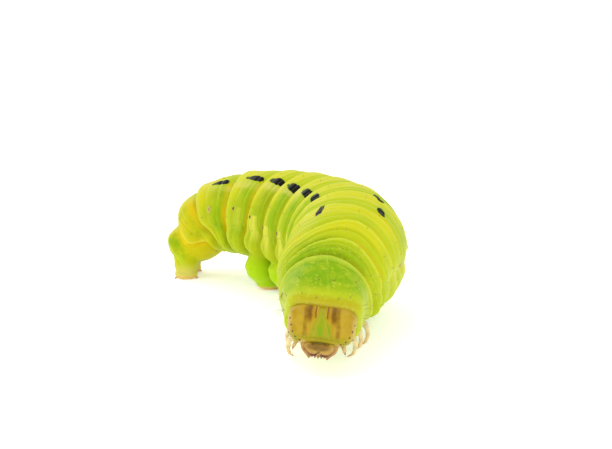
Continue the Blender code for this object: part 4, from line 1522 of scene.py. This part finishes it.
def makeLegs():
    material = makeLegMaterial()
    for (index, along, ahead), spread, further in zip(legs["pairs"], legs["spread"], legs["further"]):
        ground, left, back = floorFrame(index + along)
        for side, word, more in ((1, "left", further[0]), (-1, "right", further[1])):
            joints = [ground + (left * side * (out * spread + more * k / 5) + back * ahead * k / 5
                                + skyward * height) * mm
                      for k, (out, height) in enumerate(legs["path"])]
            rows = np.column_stack([joints, np.array(legs["radii"]) * mm])
            heap = formHeap()
            # hip, thigh, shin and foot, then the hooked claw
            for low, high, swell in ((0, 1.9, 1.0), (1.85, 2.95, 1.0), (2.9, 3.9, 1.0), (3.85, 4.5, 0.95)):
                cut = smoothPath(rows, np.linspace(low, high, 9))[0]
                waist = 1 - 0.10 * np.sin(np.linspace(0, pi, 9))
                rings = sweep(cut[:, :3], cut[:, 3] * waist * swell, sides=22, steps=2, hint=back)
                heap.add(rings, np.linspace(low, high, len(rings)) / 5)
            cut = smoothPath(rows, np.linspace(4.35, 5, 9))[0]
            heap.add(sweep(cut[:, :3], np.linspace(0.062, 0.020, 9) * mm, sides=14, steps=2, hint=back),
                     np.linspace(0.90, 1, 23))
            leg = heap.build(f"leg{index + 1}{word.title()}", material)
            settle(leg, "legs", f"leg_{index + 1}_{word}")
    print("legs made")


makeLegs()


# Breathing holes

def makeSpiracles():
    material, t, shader = newMaterial("spiracle", 0.45, 0.25)
    reach = t.shaken(t.mask("reach"), 6000.0, 0.10)
    colour = t.mix(t.stretch(reach, 0.10, 0.30), srgb(206, 204, 120), srgb(196, 160, 110))
    colour = t.mix(t.stretch(reach, 0.36, 0.52), colour, srgb(52, 36, 16))
    t.feed(shader.inputs["Base Color"], colour)
    addGrain(t, shader, 0.2, 0.01, Pebble_Scale=16000.0, Pebble_Height=0.4, Ripple_Scale=7000.0)
    heap = formHeap()
    # share of the size, height in mm and colour place of each ring, from the rim inwards
    profile = ((1.10, -0.10, 0.0), (1.04, -0.01, 0.05), (0.92, 0.6, 0.2), (0.80, 0.9, 0.32),
               (0.66, 0.7, 0.42), (0.54, 0.1, 0.6), (0.36, -0.2, 0.8), (0.10, -0.25, 1.0))
    turn = np.linspace(0, 2 * pi, 28, endpoint=False)
    for sign, word in ((1, "left"), (-1, "right")):
        for s, angle, high, wide in (*spiracles[word], *spiracles["both"]):
            centre, outward = onSkin(s, angle * sign)
            back = bodyFrame(np.array([s]))[1][0]
            back = unit(back - outward * (back @ outward))
            up = np.cross(outward, back)
            rings = []
            for size, lift, _ in profile:
                flat = centre + (back * (wide * size * np.cos(turn))[:, None]
                                 + up * (high * size * np.sin(turn))[:, None]) * mm
                rings.append(flat + outward * (lift * spiracles["rise"] + 0.01) * mm)
            shade = np.array([0.0, *[row[2] for row in profile]]) * (0.34 if s > 10 else 2 if s < 1 else 1)
            heap.add([rings[0] - outward * 0.12 * mm, *rings], shade)
    settle(heap.build("spiracles", material), "skin")


# Bristles with their dark sockets

bristles = {
    # place in each segment, degrees from the mid-back, length in mm
    "body": ((0.28, 17, 0.34), (0.72, 37, 0.32), (0.42, 66, 0.36), (0.72, 80, 0.30), (0.30, 92, 0.36),
             (0.55, 108, 0.40), (0.40, 132, 0.38), (0.60, 150, 0.30)),
    "collar": ((0.10, 14, 0.46), (0.14, 34, 0.48), (0.48, 12, 0.36), (0.55, 36, 0.38), (0.22, 56, 0.55),
               (0.30, 70, 0.66), (0.24, 86, 0.70), (0.45, 92, 0.66), (0.55, 108, 0.60), (0.50, 130, 0.50)),
    "tail": ((12.30, 20, 0.45), (12.55, 45, 0.50), (12.80, 15, 0.50), (12.95, 50, 0.55), (12.75, 85, 0.50),
             (12.45, 110, 0.45)),
    # directions on the head: sideways, forward, up; length in mm
    "head": ((0.35, 0.90, 0.45, 0.34), (0.75, 0.75, 0.40, 0.36), (0.80, 0.80, 0.00, 0.40),
             (0.30, 0.95, -0.20, 0.28), (0.55, 0.85, -0.45, 0.32), (0.95, 0.40, 0.35, 0.40),
             (0.98, 0.25, -0.25, 0.42), (0.85, 0.45, -0.70, 0.40), (0.20, 0.90, -0.62, 0.24)),
    "radius": 0.011,
    "socket": 0.030,
    "hair": (srgb(184, 168, 92), srgb(126, 106, 54)),
    "wander": 0.05,
}


def hairRings(root, outward, lean, length, radius):
    # A tapered hair that leans over, in the units of its root
    middle = root + outward * length * 0.5 + lean * length * 0.12
    tip = root + outward * length * 0.84 + lean * length * 0.55
    path = [root - outward * length * 0.08, root + outward * length * 0.15, middle, tip]
    return sweep(path, np.array([1.0, 0.95, 0.7, 0.22]) * radius, sides=5, steps=3,
                 hint=unit(np.cross(outward, lean)), ends=False)


def makeBristles():
    random = np.random.default_rng(7)
    material, t, shader = newMaterial("bristle", 0.35, 0.4)
    shade = t.stretch(t.shaken(t.mask("reach"), 4000.0, 0.2), 0.0, 0.25)
    t.feed(shader.inputs["Base Color"], t.mix(shade, bristles["hair"][1], bristles["hair"][0]))
    addGrain(t, shader, 0.1, 0.005, Pebble_Scale=30000.0, Pebble_Height=0.2, Ripple_Scale=12000.0)
    socketFinish, t, shader = newMaterial("bristleSocket", 0.35, 0.3)
    shade = t.stretch(t.shaken(t.mask("reach"), 5000.0, 0.2), 0.2, 0.6)
    t.feed(shader.inputs["Base Color"], t.mix(shade, srgb(168, 170, 50), srgb(74, 58, 24)))
    addGrain(t, shader, 0.1, 0.005, Pebble_Scale=30000.0, Pebble_Height=0.2, Ripple_Scale=12000.0)

    rows = [(at, side, length) for at, side, length in (*bristles["collar"], *bristles["tail"])]
    for index in range(1, segmentCount - 1):
        rows += [(index + at, side, length) for at, side, length in bristles["body"]]
    hairs, sockets, faceHairs = formHeap(), formHeap(), formHeap()
    for sign in (1, -1):
        for place, side, length in rows:
            s = place + bristles["wander"] * random.uniform(-1, 1)
            angle = sign * (side + 3 * random.uniform(-1, 1))
            root, outward = onSkin(s, angle)
            back = bodyFrame(np.array([s]))[1][0] * (-1 if s < 1 else 1)
            lean = unit(back + 0.3 * squareTo(outward) * random.uniform(-1, 1))
            spot = (0.01 + 0.72 * (angle + 180) / 366, 0.02 + 0.90 * (s + 0.05) / 13.4)
            length = length * random.uniform(0.85, 1.15)
            rings = hairRings(root, outward, lean, length * mm, bristles["radius"] * mm)
            hairs.add(rings, np.linspace(0, 1, len(rings)), spot)
            size = bristles["socket"] * random.uniform(0.8, 1.2) * (1.5 if s < 1 else 1)
            rings = dome(root, outward, size * mm, 0.5 * size * mm, sides=12, rows=4)
            sockets.add(rings, np.linspace(0, 1, len(rings)))
        for sideways, forward, up, length in bristles["head"]:
            direction = unit(np.array([[sign * sideways - 0.08, -forward, up]]))
            root = headCapsulePoints(direction)[0][0]
            lean = unit(np.array([0.2 * sign, -0.3, -1.0 if up < 0.2 else 0.6]))
            rings = hairRings(root, direction[0], lean, length, bristles["radius"])
            spot = (0.5 + 0.3 * sign * sideways, 0.5 + 0.3 * up)
            faceHairs.add(rings, np.linspace(0, 1, len(rings)), spot)
    settle(hairs.build("bodyBristles", material, patch=0.003), "skin")
    settle(faceHairs.build("headBristles", material, place=headPlace, patch=0.003), "head")
    settle(sockets.build("bristleSockets", socketFinish), "skin")
    print("bristles made,", len(hairs.rings) + len(faceHairs.rings))


# Rows of small hooks on the soles

hooks = {
    "count": 20,
    "spread": 112,  # degrees to each side of the inner middle
    "height": 0.17,  # mm
    "colour": (srgb(214, 170, 110), srgb(120, 66, 30)),
}


def makeHooks():
    material = makeHornMaterial("soleHook", (hooks["colour"][0], hooks["colour"][0], hooks["colour"][1]),
                                0.25, (0.2, 0.4, 0.4, 0.8))
    heap = formHeap()
    for s, side, rings, swell, word in footPlaces():
        levels = np.array([hooks["height"], 0.07, 0.02, 0.05]) * mm
        middle, wide, long, left, back = footMiddles(s, side, rings, swell, levels)
        for turn in np.radians(np.linspace(-hooks["spread"], hooks["spread"], hooks["count"])):
            ray = -left * side * cos(turn) + back * sin(turn)
            reach = np.abs(wide[0] * cos(turn)), np.abs(long[0] * sin(turn))
            out = np.hypot(*reach)
            path = [middle[0] + ray * out * 0.93, middle[1] + ray * (out + 0.03 * mm),
                    middle[2] + ray * (out + 0.07 * mm), middle[3] + ray * (out + 0.12 * mm)]
            barb = sweep(path, np.array([0.032, 0.028, 0.020, 0.008]) * mm, sides=8, steps=3,
                         hint=np.cross(ray, skyward), ends=False)
            heap.add(barb, np.linspace(0, 1, len(barb)))
    settle(heap.build("soleHooks", material), "prolegs")
    print("hooks made")


makeSpiracles()
makeBristles()
makeHooks()
